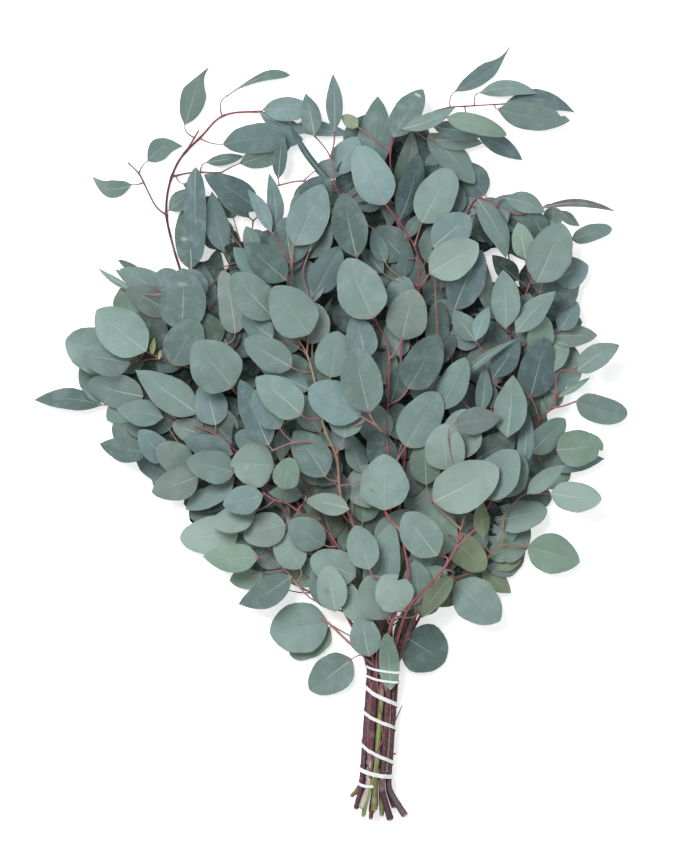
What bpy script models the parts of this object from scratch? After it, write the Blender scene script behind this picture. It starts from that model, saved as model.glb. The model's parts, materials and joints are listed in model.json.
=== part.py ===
"""Tied bunch of round-leaved eucalyptus, lying on its back on a table.

Sixteen leafy stems are gathered at their cut ends and wound with one white elastic. Every
leafy stem (woody stem, twigs, leaf stalks and blades) is one fused solid, and the elastic is
another. +X is to the right, +Y towards the leaf tips, +Z up from the table; the origin is on
the table under the middle of the bunch. Lengths are written in millimetres and turned into
metres where the meshes are made.
"""

import math
import random

import bpy
import bmesh
import numpy as np
from mathutils import Vector

# Driving dimensions, in millimetres
MM = 0.001
STEM_RADIUS = 2.4          # woody stem where it is tied
STEM_TIP_RADIUS = 1.05     # the same stem at its far end
TWIG_RADIUS = 1.05
STALK_RADIUS = 0.8         # leaf stalk (petiole)
BLADE = 0.8                # leaf blade, measured straight up
SLOT_PITCH = 5.2           # stem to stem inside the tie
FIRST_ROW_HEIGHT = 3.6     # centre of the lowest row of tied stems
TIE_TOP = (42.6, -182.0)   # middle of the tied bundle, leaf side
TIE_FOOT = (35.6, -283.0)  # middle of the tied bundle, cut side
ELASTIC_WIDTH = 3.0
ELASTIC_THICKNESS = 0.9
GAP = 0.3                  # elastic to stem
LIFT = 1.0                 # air between one leafy stem and the next
CELL = 2.0                 # grid on which the pile's top surface is kept
X_LOW, X_HIGH = -256.0, 256.0
Y_LOW, Y_HIGH = -326.0, 326.0
TWIG_REACH = 34.0          # a leaf farther than this from a twig gets a twig of its own
LARGE_LEAF = 10.0          # narrower leaves are too fine for the solid
HIDDEN_LEAVES = 58         # leaves of the lower stems, which the upper ones cover

# Outline of the bunch inside which the hidden lower leaves are spread.
OUTLINE = [
    (-8, 196), (12, 244), (40, 262), (72, 256), (98, 232), (118, 200), (152, 182), (180, 172),
    (200, 136), (202, 108), (204, 76), (182, 44), (164, 26), (170, 4), (204, -4), (204, -26),
    (168, -66), (142, -98), (118, -126), (84, -126), (58, -112), (20, -112),
    (-18, -110), (-70, -118), (-104, -90), (-136, -44), (-172, -10), (-188, 28),
    (-200, 66), (-174, 114), (-150, 134), (-116, 132), (-106, 190), (-76, 204), (-52, 160),
    (-30, 186),
]

# Leafy stems, lowest first. "slot" is the row (0 = lowest) and place in that row inside the
# tie, "foot" the cut end below the tie, "path" the woody stem from the tie to its tip.
# "twigs" start at the nearest point of what has grown already. A leaf is its blade's base,
# its tip and its width as seen from above; "under" leaves lie below their own stem.
STEMS = [
    dict(name="leafy_stem_01", slot=(0, 0), foot=(27, -298), cut=2.4, hidden=True,
         path=[(20, -140), (-14, -84), (-58, -36), (-104, 6), (-146, 40), (-166, 62)]),
    dict(name="leafy_stem_02", slot=(0, 1), foot=(36, -300), cut=2.4, hidden=True,
         path=[(42, -130), (38, -60), (32, 20), (28, 90), (40, 160), (52, 214)]),
    dict(name="leafy_stem_03", slot=(0, 2), foot=(46, -302), cut=2.4, hidden=True,
         path=[(64, -140), (94, -84), (122, -24), (146, 36), (160, 96), (172, 136)]),
    dict(name="leafy_stem_04", slot=(1, 0), foot=(15.6, -291), cut=1.4,
         path=[(20, -140), (-10, -84), (-48, -14), (-88, 58), (-112, 104), (-121, 133),
               (-127, 153), (-132, 177), (-130, 200), (-121, 222), (-103, 241), (-91, 254),
               (-78, 259), (-55, 260)],
         twigs=[[(-132, 177), (-140, 183), (-147, 196), (-154, 210), (-163, 219)],
                [(-117, 229), (-106, 245)], [(-112, 104), (-92, 124), (-66, 150), (-62, 172)],
                [(-62, 158), (-50, 164), (-44, 158)], [(-127, 207), (-112, 211), (-88, 211)]],
         under=[(-95, 112, -90, 150, 17), (-97, 100, -103, 139, 18), (-68, 128, -98, 173, 14),
                (-83, 76, -92, 112, 18), (-30, 248, 16, 241, 13)],
         leaves=[(-112, 133, -118, 182, 20), (-85, 146, -95, 195, 20), (-65, 174, -96, 204, 15),
                 (-130, 180, -108, 198, 17), (-58, 180, -101, 208, 24),
                 (-108, 214, -105, 139, 14), (-118, 201, -100, 196, 9),
                 (-100, 219, -70, 224, 10), (-57, 259, -18, 243, 14),
                 (-73, 218, -31, 234, 18), (-86, 233, -22, 237, 24),
                 (-54, 261, -12, 262, 21), (-117, 249, -104, 297, 20),
                 (-84, 272, -34, 293, 9), (-147, 220, -121, 236, 15),
                 (-160, 201, -192, 203, 11)]),
    dict(name="leafy_stem_05", slot=(1, 1), foot=(22, -299), cut=2.4, hidden=True,
         path=[(30, -130), (10, -62), (-18, 8), (-46, 76), (-66, 136), (-80, 176)]),
    dict(name="leafy_stem_06", slot=(1, 2), foot=(33, -304), cut=2.6,
         path=[(44, -130), (48, -60), (54, 20), (58, 100), (55, 170), (48, 214), (50, 236),
               (60, 247), (88, 261), (112, 264), (140, 266)],
         twigs=[[(40, 150), (18, 176), (7, 193), (3, 202), (0, 222), (-6, 232), (-13, 240)],
                [(0, 222), (3, 235), (3, 243)], [(50, 226), (36, 236), (23, 246)]],
         under=[(-42, 205, -38, 243, 12), (3, 200, -34, 253, 6), (62, 190, 70, 228, 15),
                (52, 188, 65, 244, 19), (28, 205, 38, 272, 28)],
         leaves=[(118, 241, 154, 221, 16), (50, 238, 74, 277, 24), (78, 242, 116, 202, 24),
                 (82, 236, 122, 234, 16), (82, 247, 125, 240, 16), (57, 244, 100, 262, 13),
                 (93, 253, 141, 240, 17), (22, 247, 9, 256, 11), (3, 243, 2, 290, 14),
                 (-13, 240, -20, 274, 17), (140, 266, 196, 259, 15), (134, 261, 192, 252, 22),
                 (120, 275, 166, 276, 11), (100, 276, 148, 310, 14)]),
    dict(name="leafy_stem_07", slot=(1, 3), foot=(44, -303), cut=1.8,
         path=[(60, -140), (78, -85), (98, -35), (118, 5), (129, 34), (143, 55), (161, 79),
               (170, 99), (174, 124)],
         twigs=[[(100, -30), (98, 40), (97, 110), (104, 160), (112, 184), (120, 191),
                 (130, 185), (151, 177), (170, 182)],
                [(133, 60), (145, 88), (150, 97), (156, 112), (160, 122)],
                [(174, 118), (180, 124)]],
         under=[(178, 184, 180, 166, 16), (184, 180, 200, 168, 9), (175, 79, 214, 80, 19),
                (183, 84, 198, 107, 17), (132, 94, 121, 147, 14), (151, 124, 129, 144, 17),
                (118, 180, 129, 151, 16)],
         leaves=[(165, 65, 172, 95, 22), (148, 82, 180, 115, 20), (140, 85, 138, 132, 24),
                 (194, 157, 226, 166, 14), (172, 158, 160, 182, 17), (140, 190, 172, 178, 17),
                 (118, 189, 143, 143, 18), (156, 141, 150, 170, 18), (170, 182, 228, 179, 6),
                 (180, 125, 207, 136, 27), (165, 122, 186, 169, 36),
                 (88, 118, 98, 158, 26), (99, 100, 121, 148, 30)]),
    dict(name="leafy_stem_08", slot=(1, 4), foot=(52, -300), cut=2.4,
         path=[(75, -140), (104, -92), (130, -52), (148, -28), (159, -15), (160, -5),
               (167, 12), (178, 22), (180, 35), (182, 50), (196, 53)],
         twigs=[[(178, 22), (186, 23), (197, 27)], [(167, 12), (163, 25), (160, 30)],
                [(159, -15), (170, -13), (181, -12)], [(148, -28), (150, 0), (157, 14)],
                [(178, 24), (180, 29), (184, 31)]],
         under=[(160, 30, 172, 78, 31), (172, -22, 220, -19, 18), (130, 46, 150, 78, 20),
                (116, 75, 98, 100, 18), (116, 75, 127, 103, 13), (120, 18, 123, 57, 14)],
         leaves=[(161, -14, 188, 13, 22), (154, -24, 158, 18, 13), (183, 31, 208, 46, 6),
                 (197, 51, 231, 72, 20), (181, -12, 219, -8, 30), (197, 27, 238, 16, 23),
                 (103, 43, 148, 76, 7), (141, -2, 146, 48, 27)]),
    dict(name="leafy_stem_09", slot=(2, 0), foot=(20, -301), cut=2.0,
         path=[(10, -140), (-20, -84), (-55, -37), (-77, -12), (-90, -1), (-100, 4),
               (-118, 9), (-133, 13)],
         twigs=[[(-92, -2), (-112, -6), (-120, -18), (-128, -22)], [(-120, 9), (-140, 24), (-152, 32)]],
         under=[(-183, 24, -238, 28, 18), (-140, 3, -167, 8, 14), (-146, -14, -185, -7, 21),
                (-123, -30, -143, -40, 22)],
         leaves=[(-131, -21, -153, 4, 22), (-113, -26, -139, -9, 26), (-77, -33, -116, -60, 23),
                 (-106, -33, -143, -46, 27), (-78, -15, -118, -3, 22), (-77, -30, -115, -21, 27),
                 (-150, 31, -195, 41, 28), (-134, 14, -171, 21, 22), (-106, 17, -156, 52, 29),
                 (-92, 8, -100, 43, 27), (-45, -24, -80, -23, 38)]),
    dict(name="leafy_stem_10", slot=(2, 1), foot=(26, -307), cut=1.5,
         path=[(22, -130), (0, -84), (-30, -22), (-62, 20), (-90, 45), (-120, 56),
               (-140, 61), (-156, 58)],
         twigs=[[(-118, 56), (-124, 74), (-126, 96), (-130, 112)],
                [(-136, 60), (-141, 64), (-141, 70)], [(-92, 46), (-80, 62), (-84, 76)]],
         under=[(-150, 125, -171, 141, 8), (-150, 118, -173, 133, 8), (-158, 116, -187, 134, 6),
                (-130, 112, -169, 133, 24), (-128, 98, -164, 117, 24), (-119, 84, -117, 133, 38),
                (-172, 62, -212, 76, 38), (-160, 57, -200, 64, 28)],
         leaves=[(-143, 64, -141, 78, 5), (-137, 61, -136, 68, 3), (-126, 56, -106, 92, 32),
                 (-147, 67, -187, 100, 38), (-76, 81, -86, 131, 22), (-78, 38, -108, 74, 42)]),
    dict(name="leafy_stem_11", slot=(2, 2), foot=(32, -309), cut=1.6,
         path=[(38, -140), (26, -102), (18, -71), (8, -48), (5, -19), (-5, 6), (-12, 41),
               (-19, 65), (-28, 82), (-31, 119), (-31, 133), (-38, 147), (-45, 160)],
         twigs=[[(-19, 66), (-18, 76), (-18, 112), (-22, 130), (-17, 146)],
                [(-31, 133), (-30, 150), (-28, 152)]],
         under=[(-30, 173, -25, 196, 10), (-44, 162, -49, 209, 14), (-47, 161, -66, 196, 12),
                (-60, 145, -67, 166, 14), (-50, 121, -77, 149, 19), (-17, 36, -57, 56, 20),
                (-8, 2, -26, 34, 22), (-38, 6, -40, -21, 14)],
         leaves=[(-17, 146, -4, 197, 10), (-13, 112, 8, 151, 25), (-7, 89, 8, 115, 9),
                 (-35, 123, -68, 152, 26), (-28, 151, -6, 200, 33), (-46, 77, -70, 95, 20),
                 (-45, 93, -77, 128, 31), (-17, 80, -45, 118, 38), (-49, -8, -72, 44, 24),
                 (-40, 5, -60, 36, 24), (-31, 54, -68, 76, 26), (15, -59, -21, -52, 18),
                 (26, -31, 16, 1, 18), (11, -2, 14, 30, 28), (-4, -33, -29, 3, 30),
                 (-23, 16, -59, 46, 30), (24, 15, -17, 38, 34), (0, 46, 6, 83, 31)]),
    dict(name="leafy_stem_12", slot=(2, 3), foot=(41.2, -306.4), cut=1.7,
         path=[(50, -130), (55, -60), (64, 20), (70, 80), (71, 120), (71, 137), (67, 151),
               (60, 163), (52, 174), (44, 184)],
         twigs=[[(67, 151), (73, 170)], [(72, 118), (79, 129)], [(66, 40), (84, 70), (84, 110), (82, 148)]],
         under=[(60, 157, 72, 177, 11), (55, 172, 70, 226, 22), (42, 130, 24, 150, 13),
                (44, 138, 34, 167, 14), (58, 126, 64, 153, 14), (84, 68, 88, 107, 20)],
         leaves=[(52, 98, 60, 127, 24), (88, 20, 108, 62, 24), (73, 170, 97, 213, 32),
                 (82, 150, 112, 175, 30), (79, 129, 118, 153, 32), (44, 184, 22, 231, 32)]),
    dict(name="leafy_stem_13", slot=(2, 4), foot=(60.4, -306.4), cut=2.8,
         path=[(66, -150), (85, -119), (104, -113), (116, -109), (127, -98), (137, -88),
               (157, -90)],
         twigs=[[(137, -88), (138, -75), (140, -62), (152, -50), (158, -47), (176, -47)]],
         under=[(60, -162, 88, -180, 38), (122, -107, 145, -127, 18), (132, -68, 174, -60, 26),
                (127, -97, 152, -88, 18)],
         leaves=[(157, -47, 187, -24, 15), (122, -82, 120, -50, 14), (101, -118, 136, -149, 36),
                 (158, -90, 200, -102, 33), (176, -47, 217, -51, 25)]),
    dict(name="leafy_stem_14", slot=(3, 0), foot=(24.4, -300), cut=2.9,
         path=[(28, -168), (14, -146), (9, -124), (12, -102), (-6, -73), (-20, -66),
               (-34, -55), (-45, -52), (-54, -46)],
         twigs=[[(28, -170), (8, -157), (-1, -152)],
                [(12, -144), (-14, -132), (-28, -118), (-36, -108), (-44, -96), (-52, -86)],
                [(-8, -73), (-22, -72), (-34, -73)]],
         under=[(-1, -155, -32, -178, 27), (17, -180, -17, -205, 32), (2, -140, -14, -106, 20),
                (-22, -48, -50, -46, 15), (-38, -43, -31, -18, 22), (-52, -85, -88, -80, 15),
                (-74, -78, -121, -83, 32)],
         leaves=[(20, -150, 16, -118, 18), (-34, -72, -8, -67, 14), (-24, -107, -43, -78, 26),
                 (-54, -111, -81, -117, 21), (-58, -98, -102, -97, 24), (-31, -113, -72, -138, 24),
                 (-36, -72, -70, -81, 28), (-60, -61, -95, -72, 23), (-54, -48, -86, -56, 24),
                 (-5, -88, -33, -69, 27), (20, -113, -16, -98, 30), (-2, -151, -49, -159, 42),
                 (4, -141, -2, -104, 25), (31, -177, 25, -143, 25)]),
    dict(name="leafy_stem_15", slot=(3, 1), foot=(34.8, -301.6), cut=3.0,
         path=[(46, -160), (54, -136), (62, -113), (59, -91), (56, -77), (45, -64), (43, -50),
               (46, -30), (46, -12), (45, 0), (46, 24), (47, 61), (45, 75), (38, 88)],
         twigs=[[(45, 0), (36, 8), (31, 17)], [(36, 8), (24, 15)], [(47, 22), (56, 29), (62, 37)],
                [(47, 60), (54, 68), (57, 76)], [(46, -30), (52, -22), (60, -9)]],
         under=[(60, -125, 64, -98, 24), (42, -120, 52, -84, 24), (36, -132, 50, -69, 30),
                (45, -147, 30, -112, 34), (70, -140, 68, -100, 26), (28, 60, 19, 96, 26),
                (57, 76, 67, 117, 34), (21, 142, 10, 193, 29), (48, 25, 57, 60, 17)],
         leaves=[(31, -107, 20, -72, 26), (59, -139, 41, -112, 32), (31, 18, 20, 70, 34),
                 (34, 93, 13, 141, 39), (62, 37, 86, 80, 31), (60, -9, 86, 34, 34),
                 (43, -60, 43, -15, 40), (49, -180, 51, -158, 17)]),
    dict(name="leafy_stem_16", slot=(3, 2), foot=(48.4, -309.6), cut=2.7,
         path=[(53, -164), (62, -138), (78, -120), (90, -107), (100, -90), (104, -75),
               (108, -62)],
         twigs=[[(100, -90), (112, -78), (118, -74)], [(90, -107), (94, -98), (86, -96)],
                [(104, -75), (88, -60), (81, -53)], [(108, -62), (116, -52), (122, -46)]],
         under=[(98, -112, 72, -146, 17), (95, -81, 124, -108, 26), (88, -97, 88, -56, 28),
                (100, -20, 108, 21, 34), (98, 8, 136, 14, 22), (138, -50, 150, -12, 30)],
         leaves=[(120, -50, 148, -12, 34), (85, -96, 59, -62, 32), (93, -28, 90, 9, 33),
                 (82, -53, 134, -26, 40)]),
]


# Plan curves
def smooth_path(points, step=4.0):
    """Points every few millimetres on a smooth curve through the given plan points."""
    p = [np.array(q, dtype=float) for q in points]
    if len(p) == 2:
        p = [p[0], (p[0] + p[1]) / 2, p[1]]
    ends = [2 * p[0] - p[1]] + p + [2 * p[-1] - p[-2]]
    out = [p[0]]
    for i in range(1, len(ends) - 2):
        a, b, c, d = ends[i - 1], ends[i], ends[i + 1], ends[i + 2]
        n = max(2, int(round(np.linalg.norm(c - b) / step)))
        for k in range(1, n + 1):
            t = k / n
            q = 0.5 * (2 * b + (c - a) * t + (2 * a - 5 * b + 4 * c - d) * t * t
                       + (3 * b - a - 3 * c + d) * t ** 3)
            out.append(q)
    return np.array(out)


def run_length(xy):
    """Distance along a polyline at each of its points."""
    d = np.linalg.norm(np.diff(xy[:, :2], axis=0), axis=1)
    return np.concatenate([[0.0], np.cumsum(d)])


def inside(x, y, polygon):
    """True if a plan point lies inside a polygon."""
    hit = False
    j = len(polygon) - 1
    for i in range(len(polygon)):
        xi, yi = polygon[i]
        xj, yj = polygon[j]
        if (yi > y) != (yj > y) and x < (xj - xi) * (y - yi) / (yj - yi) + xi:
            hit = not hit
        j = i
    return hit


# Leaf outline and surface
def outline_width(x, p, q):
    """Half width, 0 to 1, of a blade at x = 0 (base) to 1 (tip)."""
    x = np.clip(x, 0.0, 1.0)
    return np.sin(math.pi * x ** p) ** q


def blade_height(leaf, s, t):
    """Height of a blade's middle surface at s along it and t across it."""
    x = np.clip(s / leaf["length"], 0.0, 1.0)
    y = np.clip(t / leaf["half"], -1.0, 1.0)
    return (leaf["z"] + leaf["rise"] * s + leaf["roll"] * t
            + leaf["arch"] * np.sin(math.pi * x) + leaf["cup"] * y * y)


class Pile:
    """Top surface of everything laid so far, so that the next stem can lie on it."""

    def __init__(self):
        self.x = np.arange(X_LOW, X_HIGH + CELL, CELL)
        self.y = np.arange(Y_LOW, Y_HIGH + CELL, CELL)
        self.top = np.zeros((len(self.x), len(self.y)))
        self.foliage = np.zeros((len(self.x), len(self.y)))
        self.blades = np.zeros((len(self.x), len(self.y)))
        self.stems = []

    def window(self, x0, x1, y0, y1):
        i0 = max(0, int((x0 - X_LOW) / CELL))
        i1 = min(len(self.x), int((x1 - X_LOW) / CELL) + 2)
        j0 = max(0, int((y0 - Y_LOW) / CELL))
        j1 = min(len(self.y), int((y1 - Y_LOW) / CELL) + 2)
        gx, gy = np.meshgrid(self.x[i0:i1], self.y[j0:j1], indexing="ij")
        return (slice(i0, i1), slice(j0, j1)), gx, gy

    def under_leaf(self, leaf, grow=1.6):
        """Cells below a blade, with their places along and across it."""
        bx, by = leaf["base"]
        ux, uy = leaf["along"]
        reach = leaf["length"] + leaf["half"] + 4
        cx = bx + ux * leaf["length"] / 2
        cy = by + uy * leaf["length"] / 2
        box, gx, gy = self.window(cx - reach, cx + reach, cy - reach, cy + reach)
        s = (gx - bx) * ux + (gy - by) * uy
        t = (gy - by) * ux - (gx - bx) * uy
        wide = leaf["half"] * outline_width(s / leaf["length"], leaf["p"], leaf["q"])
        mask = (s > -grow) & (s < leaf["length"] + grow) & (np.abs(t) < wide + grow)
        return box, mask, s, t

    def lay_leaf(self, leaf):
        box, mask, s, t = self.under_leaf(leaf)
        x = np.clip(s / leaf["length"], 0.0, 1.0)
        top = (leaf["z"] + leaf["rise"] * s + leaf["roll"] * t
               + leaf["arch"] * np.sin(math.pi * x) + leaf["cup"] + BLADE / 2)
        for grid in (self.top, self.foliage, self.blades):
            part = grid[box]
            part[mask] = np.maximum(part[mask], top[mask])

    def lay_rod(self, points, radius, stem=False):
        for a, b in zip(points[:-1], points[1:]):
            r = radius + 1.5
            box, gx, gy = self.window(min(a[0], b[0]) - r, max(a[0], b[0]) + r,
                                      min(a[1], b[1]) - r, max(a[1], b[1]) + r)
            dx, dy = b[0] - a[0], b[1] - a[1]
            k = dx * dx + dy * dy + 1e-9
            f = np.clip(((gx - a[0]) * dx + (gy - a[1]) * dy) / k, 0, 1)
            near = (gx - a[0] - f * dx) ** 2 + (gy - a[1] - f * dy) ** 2 < r * r
            top = a[2] + f * (b[2] - a[2]) + radius
            for grid in ((self.top,) if stem else (self.top, self.foliage)):
                part = grid[box]
                part[near] = np.maximum(part[near], top[near])

    def height(self, x, y, r, grid):
        """Highest point of a grid within r of a place."""
        r = r + 1.5
        box, gx, gy = self.window(x - r, x + r, y - r, y + r)
        near = (gx - x) ** 2 + (gy - y) ** 2 < r * r
        part = grid[box]
        return float(part[near].max()) if near.any() else 0.0


# Laying leaves and twigs
def make_leaf(pile, before, spec, rng, flat_if_low=False):
    """Lay one blade on the pile: it tilts with what is below it and clears it."""
    bx, by, tx, ty, width = spec
    length = math.hypot(tx - bx, ty - by)
    along = ((tx - bx) / length, (ty - by) / length)
    slim = width / length
    q = 0.58 + 0.1 * rng.random() if slim > 0.6 else 0.72 + 0.2 * rng.random()
    leaf = dict(base=(bx, by), along=along, length=length, half=width / 2,
                p=0.74 + 0.16 * rng.random(), q=q, z=0.0, rise=0.0, roll=0.0,
                arch=0.0, cup=0.0, seed=rng.randrange(1 << 30))
    draws = [rng.uniform(-1, 1) for _ in range(4)]
    side = rng.choice((-1, 1))
    box, mask, s, t = pile.under_leaf(leaf)
    below = pile.top[box][mask]
    others = before[box][mask]
    s, t = s[mask], t[mask]
    if flat_if_low and below.max() < 0.01:
        leaf["z"] = BLADE / 2
        leaf["flat"] = True
        pile.lay_leaf(leaf)
        return leaf
    fit = np.linalg.lstsq(np.stack([s, t, np.ones(len(s))], 1), below, rcond=None)[0]
    true_width = min(0.88 * length, 40.0)
    roll = 0.0
    if width < 0.72 * true_width:
        roll = min(0.8, math.sqrt((true_width / width) ** 2 - 1) * 0.55)
    limit = min(0.5, 12.0 / length)
    leaf["rise"] = float(np.clip(0.7 * fit[0], -limit, limit)) + 0.11 * draws[0]
    leaf["roll"] = float(np.clip(0.7 * fit[1], -0.4, 0.4)) + 0.14 * draws[1] + side * roll
    leaf["roll"] = float(np.clip(leaf["roll"], -0.95, 0.95))
    leaf["arch"] = length * (0.03 + 0.025 * draws[2])
    leaf["cup"] = width * (0.035 + 0.03 * draws[3])
    bottom = (leaf["rise"] * s + leaf["roll"] * t - BLADE / 2
              + leaf["arch"] * np.sin(math.pi * np.clip(s / length, 0, 1)))
    steep = abs(leaf["rise"]) + abs(leaf["roll"])
    air = np.where(others > 0.01, LIFT + steep, 0.2 + 0.5 * steep)
    floor = np.maximum(others + air, below + 0.3 + 0.3 * steep)
    leaf["z"] = float((floor - bottom).max())
    pile.lay_leaf(leaf)
    return leaf


def drape(pile, before, xy, radius, start, ease=0.25, others=()):
    """Heights for a rod along a plan curve: it sinks onto the pile and never enters it."""
    run = run_length(xy)
    need = np.array([pile.height(x, y, radius, before) for x, y in xy])
    need = np.where(need > 0.01, need + radius + LIFT, radius + 0.05)
    for centre, other_radius in others:
        reach = radius + other_radius + 0.35
        d2 = (xy[:, None, 0] - centre[None, :, 0]) ** 2 + (xy[:, None, 1] - centre[None, :, 1]) ** 2
        lift = centre[None, :, 2] + np.sqrt(np.maximum(0.0, reach * reach - d2))
        lift = np.where(d2 < reach * reach, lift, -1e3).max(axis=1)
        need = np.maximum(need, lift)
    gapped = np.abs(run[:, None] - run[None, :])
    z = (need[None, :] - ease * gapped).max(axis=1)
    z = np.maximum(z, start - ease * run)
    soft = z.copy()
    for _ in range(12):
        soft[1:-1] = np.maximum(need[1:-1], (soft[:-2] + 2 * soft[1:-1] + soft[2:]) / 4)
    soft[0] = start
    return np.column_stack([xy, soft])


def clear_of_pile(pile, before, points, radius, hold_end):
    """Raise a rod's inner points over what lay there before its own leafy stem."""
    last = len(points) - 1 if hold_end else len(points)
    for i in range(1, last):
        x, y, z = points[i]
        free = pile.height(x, y, radius, before)
        if free > 0.01:
            z = max(z, free + radius + 1.2)
        points[i][2] = max(z, radius + 0.05)


def shorten(points, slack):
    """Fewer points of a 3-D polyline, none farther than the slack from it."""
    if len(points) < 3:
        return list(points)
    a, b = points[0], points[-1]
    ab = b - a
    k = float(ab @ ab) + 1e-9
    f = np.clip(((points - a) @ ab) / k, 0, 1)
    off = np.linalg.norm(points - a - f[:, None] * ab, axis=1)
    i = int(off.argmax())
    if off[i] <= slack:
        return [a, b]
    return shorten(points[:i + 1], slack)[:-1] + shorten(points[i:], slack)


class Skeleton:
    """Samples of one leafy stem's wood, for twigs and leaf stalks to start from."""

    def __init__(self):
        self.rows = []

    def add(self, points, radius, skip_below=None):
        for i in range(1, len(points)):
            if skip_below is not None and points[i][1] < skip_below:
                continue
            d = points[i] - points[i - 1]
            n = math.hypot(d[0], d[1]) + 1e-9
            self.rows.append((*points[i], d[0] / n, d[1] / n, radius))

    def root_for(self, x, y, along=None, forward=0.8):
        """Nearest sample, a place the leaf points away from at a forward angle first."""
        best, cost = None, 1e9
        for row in self.rows:
            vx, vy = x - row[0], y - row[1]
            dist = math.hypot(vx, vy)
            cosine = (vx * row[3] + vy * row[4]) / (dist + 1e-6)
            value = dist * (1 + forward * (1 - cosine) * 0.5)
            if along:
                value += dist * 0.5 * (1 - (vx * along[0] + vy * along[1]) / (dist + 1e-6))
            if value < cost:
                best, cost = row, value
        return best


def slot_place(slot):
    """Plan offset across the bundle and height of a tied stem."""
    row, place = slot
    count = (3, 5, 5, 3)[row]
    return (place - (count - 1) / 2) * SLOT_PITCH, FIRST_ROW_HEIGHT + row * SLOT_PITCH


def bundle_point(offset, top):
    """Plan point of a slot at the leaf side (top) or the cut side of the tie."""
    dx, dy = TIE_TOP[0] - TIE_FOOT[0], TIE_TOP[1] - TIE_FOOT[1]
    n = math.hypot(dx, dy)
    x, y = TIE_TOP if top else TIE_FOOT
    return x + offset * dy / n, y - offset * dx / n


def hidden_twigs(path, rng):
    """Side twigs of a hidden stem, alternating left and right."""
    xy = smooth_path(path)
    run = run_length(xy)
    side = rng.choice((-1, 1))
    twigs = []
    at = 58.0
    while at < run[-1] - 12:
        i = int(np.searchsorted(run, at))
        d = xy[min(i + 2, len(xy) - 1)] - xy[i - 2]
        d = d / np.linalg.norm(d)
        reach = rng.uniform(52, 70)
        turn = side * math.radians(rng.uniform(46, 60))
        e = np.array([d[0] * math.cos(turn) - d[1] * math.sin(turn),
                      d[0] * math.sin(turn) + d[1] * math.cos(turn)])
        mid = xy[i] + e * reach * 0.5
        end = xy[i] + e * reach * 0.82 + d * reach * 0.3
        if inside(end[0], end[1], OUTLINE):
            twigs.append([tuple(xy[i]), tuple(mid), tuple(end)])
        side = -side
        at += rng.uniform(46, 56)
    return twigs


def open_cells():
    """Plan cells inside the outline, weighted most where no listed leaf covers them."""
    x = np.arange(-212.0, 214.0, 4.0)
    y = np.arange(-180.0, 272.0, 4.0)
    gx, gy = np.meshgrid(x, y, indexing="ij")
    gx, gy = gx.ravel(), gy.ravel()
    weight = np.array([1.0 if inside(a, b, OUTLINE) else 0.0 for a, b in zip(gx, gy)])
    for stem in STEMS:
        for bx, by, tx, ty, width in stem.get("under", []) + stem.get("leaves", []):
            covered = cells_under(gx, gy, (bx, by), (tx, ty), width)
            weight[covered] = np.minimum(weight[covered], 0.12)
    return gx, gy, weight


def cells_under(gx, gy, base, tip, width):
    """Which plan cells a leaf with this base, tip and width covers."""
    length = math.hypot(tip[0] - base[0], tip[1] - base[1])
    ux, uy = (tip[0] - base[0]) / length, (tip[1] - base[1]) / length
    s = (gx - base[0]) * ux + (gy - base[1]) * uy
    t = (gy - base[1]) * ux - (gx - base[0]) * uy
    return (s > 0) & (s < length) & (np.abs(t) < width / 2 * outline_width(s / length, 0.8, 0.65))


def hidden_leaves(owner_paths, rng):
    """Lower leaves where they close the most of the bunch, each on the nearest hidden stem."""
    gx, gy, weight = open_cells()
    candidates = []
    pitch = 16.0
    row = 0
    y = -170.0
    while y < 262:
        x = -206.0 + (row % 2) * pitch / 2
        while x < 210:
            length, width = rng.uniform(42, 48), rng.uniform(36, 41)
            swing = rng.choice((-1, 1)) * math.radians(rng.uniform(12, 62))
            best, cost, heading = None, 1e9, (0, 1)
            for name, curves in owner_paths.items():
                for curve in curves:
                    d = np.linalg.norm(curve - np.array([x, y]), axis=1)
                    i = int(d.argmin())
                    if d[i] < cost:
                        j = min(i + 2, len(curve) - 1)
                        k = max(i - 2, 0)
                        v = curve[j] - curve[k]
                        v = v / (np.linalg.norm(v) + 1e-9)
                        away = np.array([x, y]) - curve[i]
                        v = v + 0.8 * away / (np.linalg.norm(away) + 4)
                        best, cost, heading = name, d[i], v / (np.linalg.norm(v) + 1e-9)
            ux = heading[0] * math.cos(swing) - heading[1] * math.sin(swing)
            uy = heading[0] * math.sin(swing) + heading[1] * math.cos(swing)
            bx, by = x - ux * length / 2, y - uy * length / 2
            tx, ty = x + ux * length / 2, y + uy * length / 2
            sx, sy = -uy * width * 0.5, ux * width * 0.5
            probes = [(bx, by), (tx + ux * 2, ty + uy * 2), (x + sx, y + sy), (x - sx, y - sy)]
            if all(inside(a, b, OUTLINE) for a, b in probes):
                cells = np.flatnonzero(cells_under(gx, gy, (bx, by), (tx, ty), width))
                candidates.append((best, (bx, by, tx, ty, width), cells))
            x += pitch
        y += pitch * 0.87
        row += 1
    given = {name: [] for name in owner_paths}
    for _ in range(HIDDEN_LEAVES):
        gains = [float(weight[cells].sum()) for _, _, cells in candidates]
        i = int(np.argmax(gains))
        name, spec, cells = candidates[i]
        given[name].append(spec)
        weight[cells] *= 0.15
    return given


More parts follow.
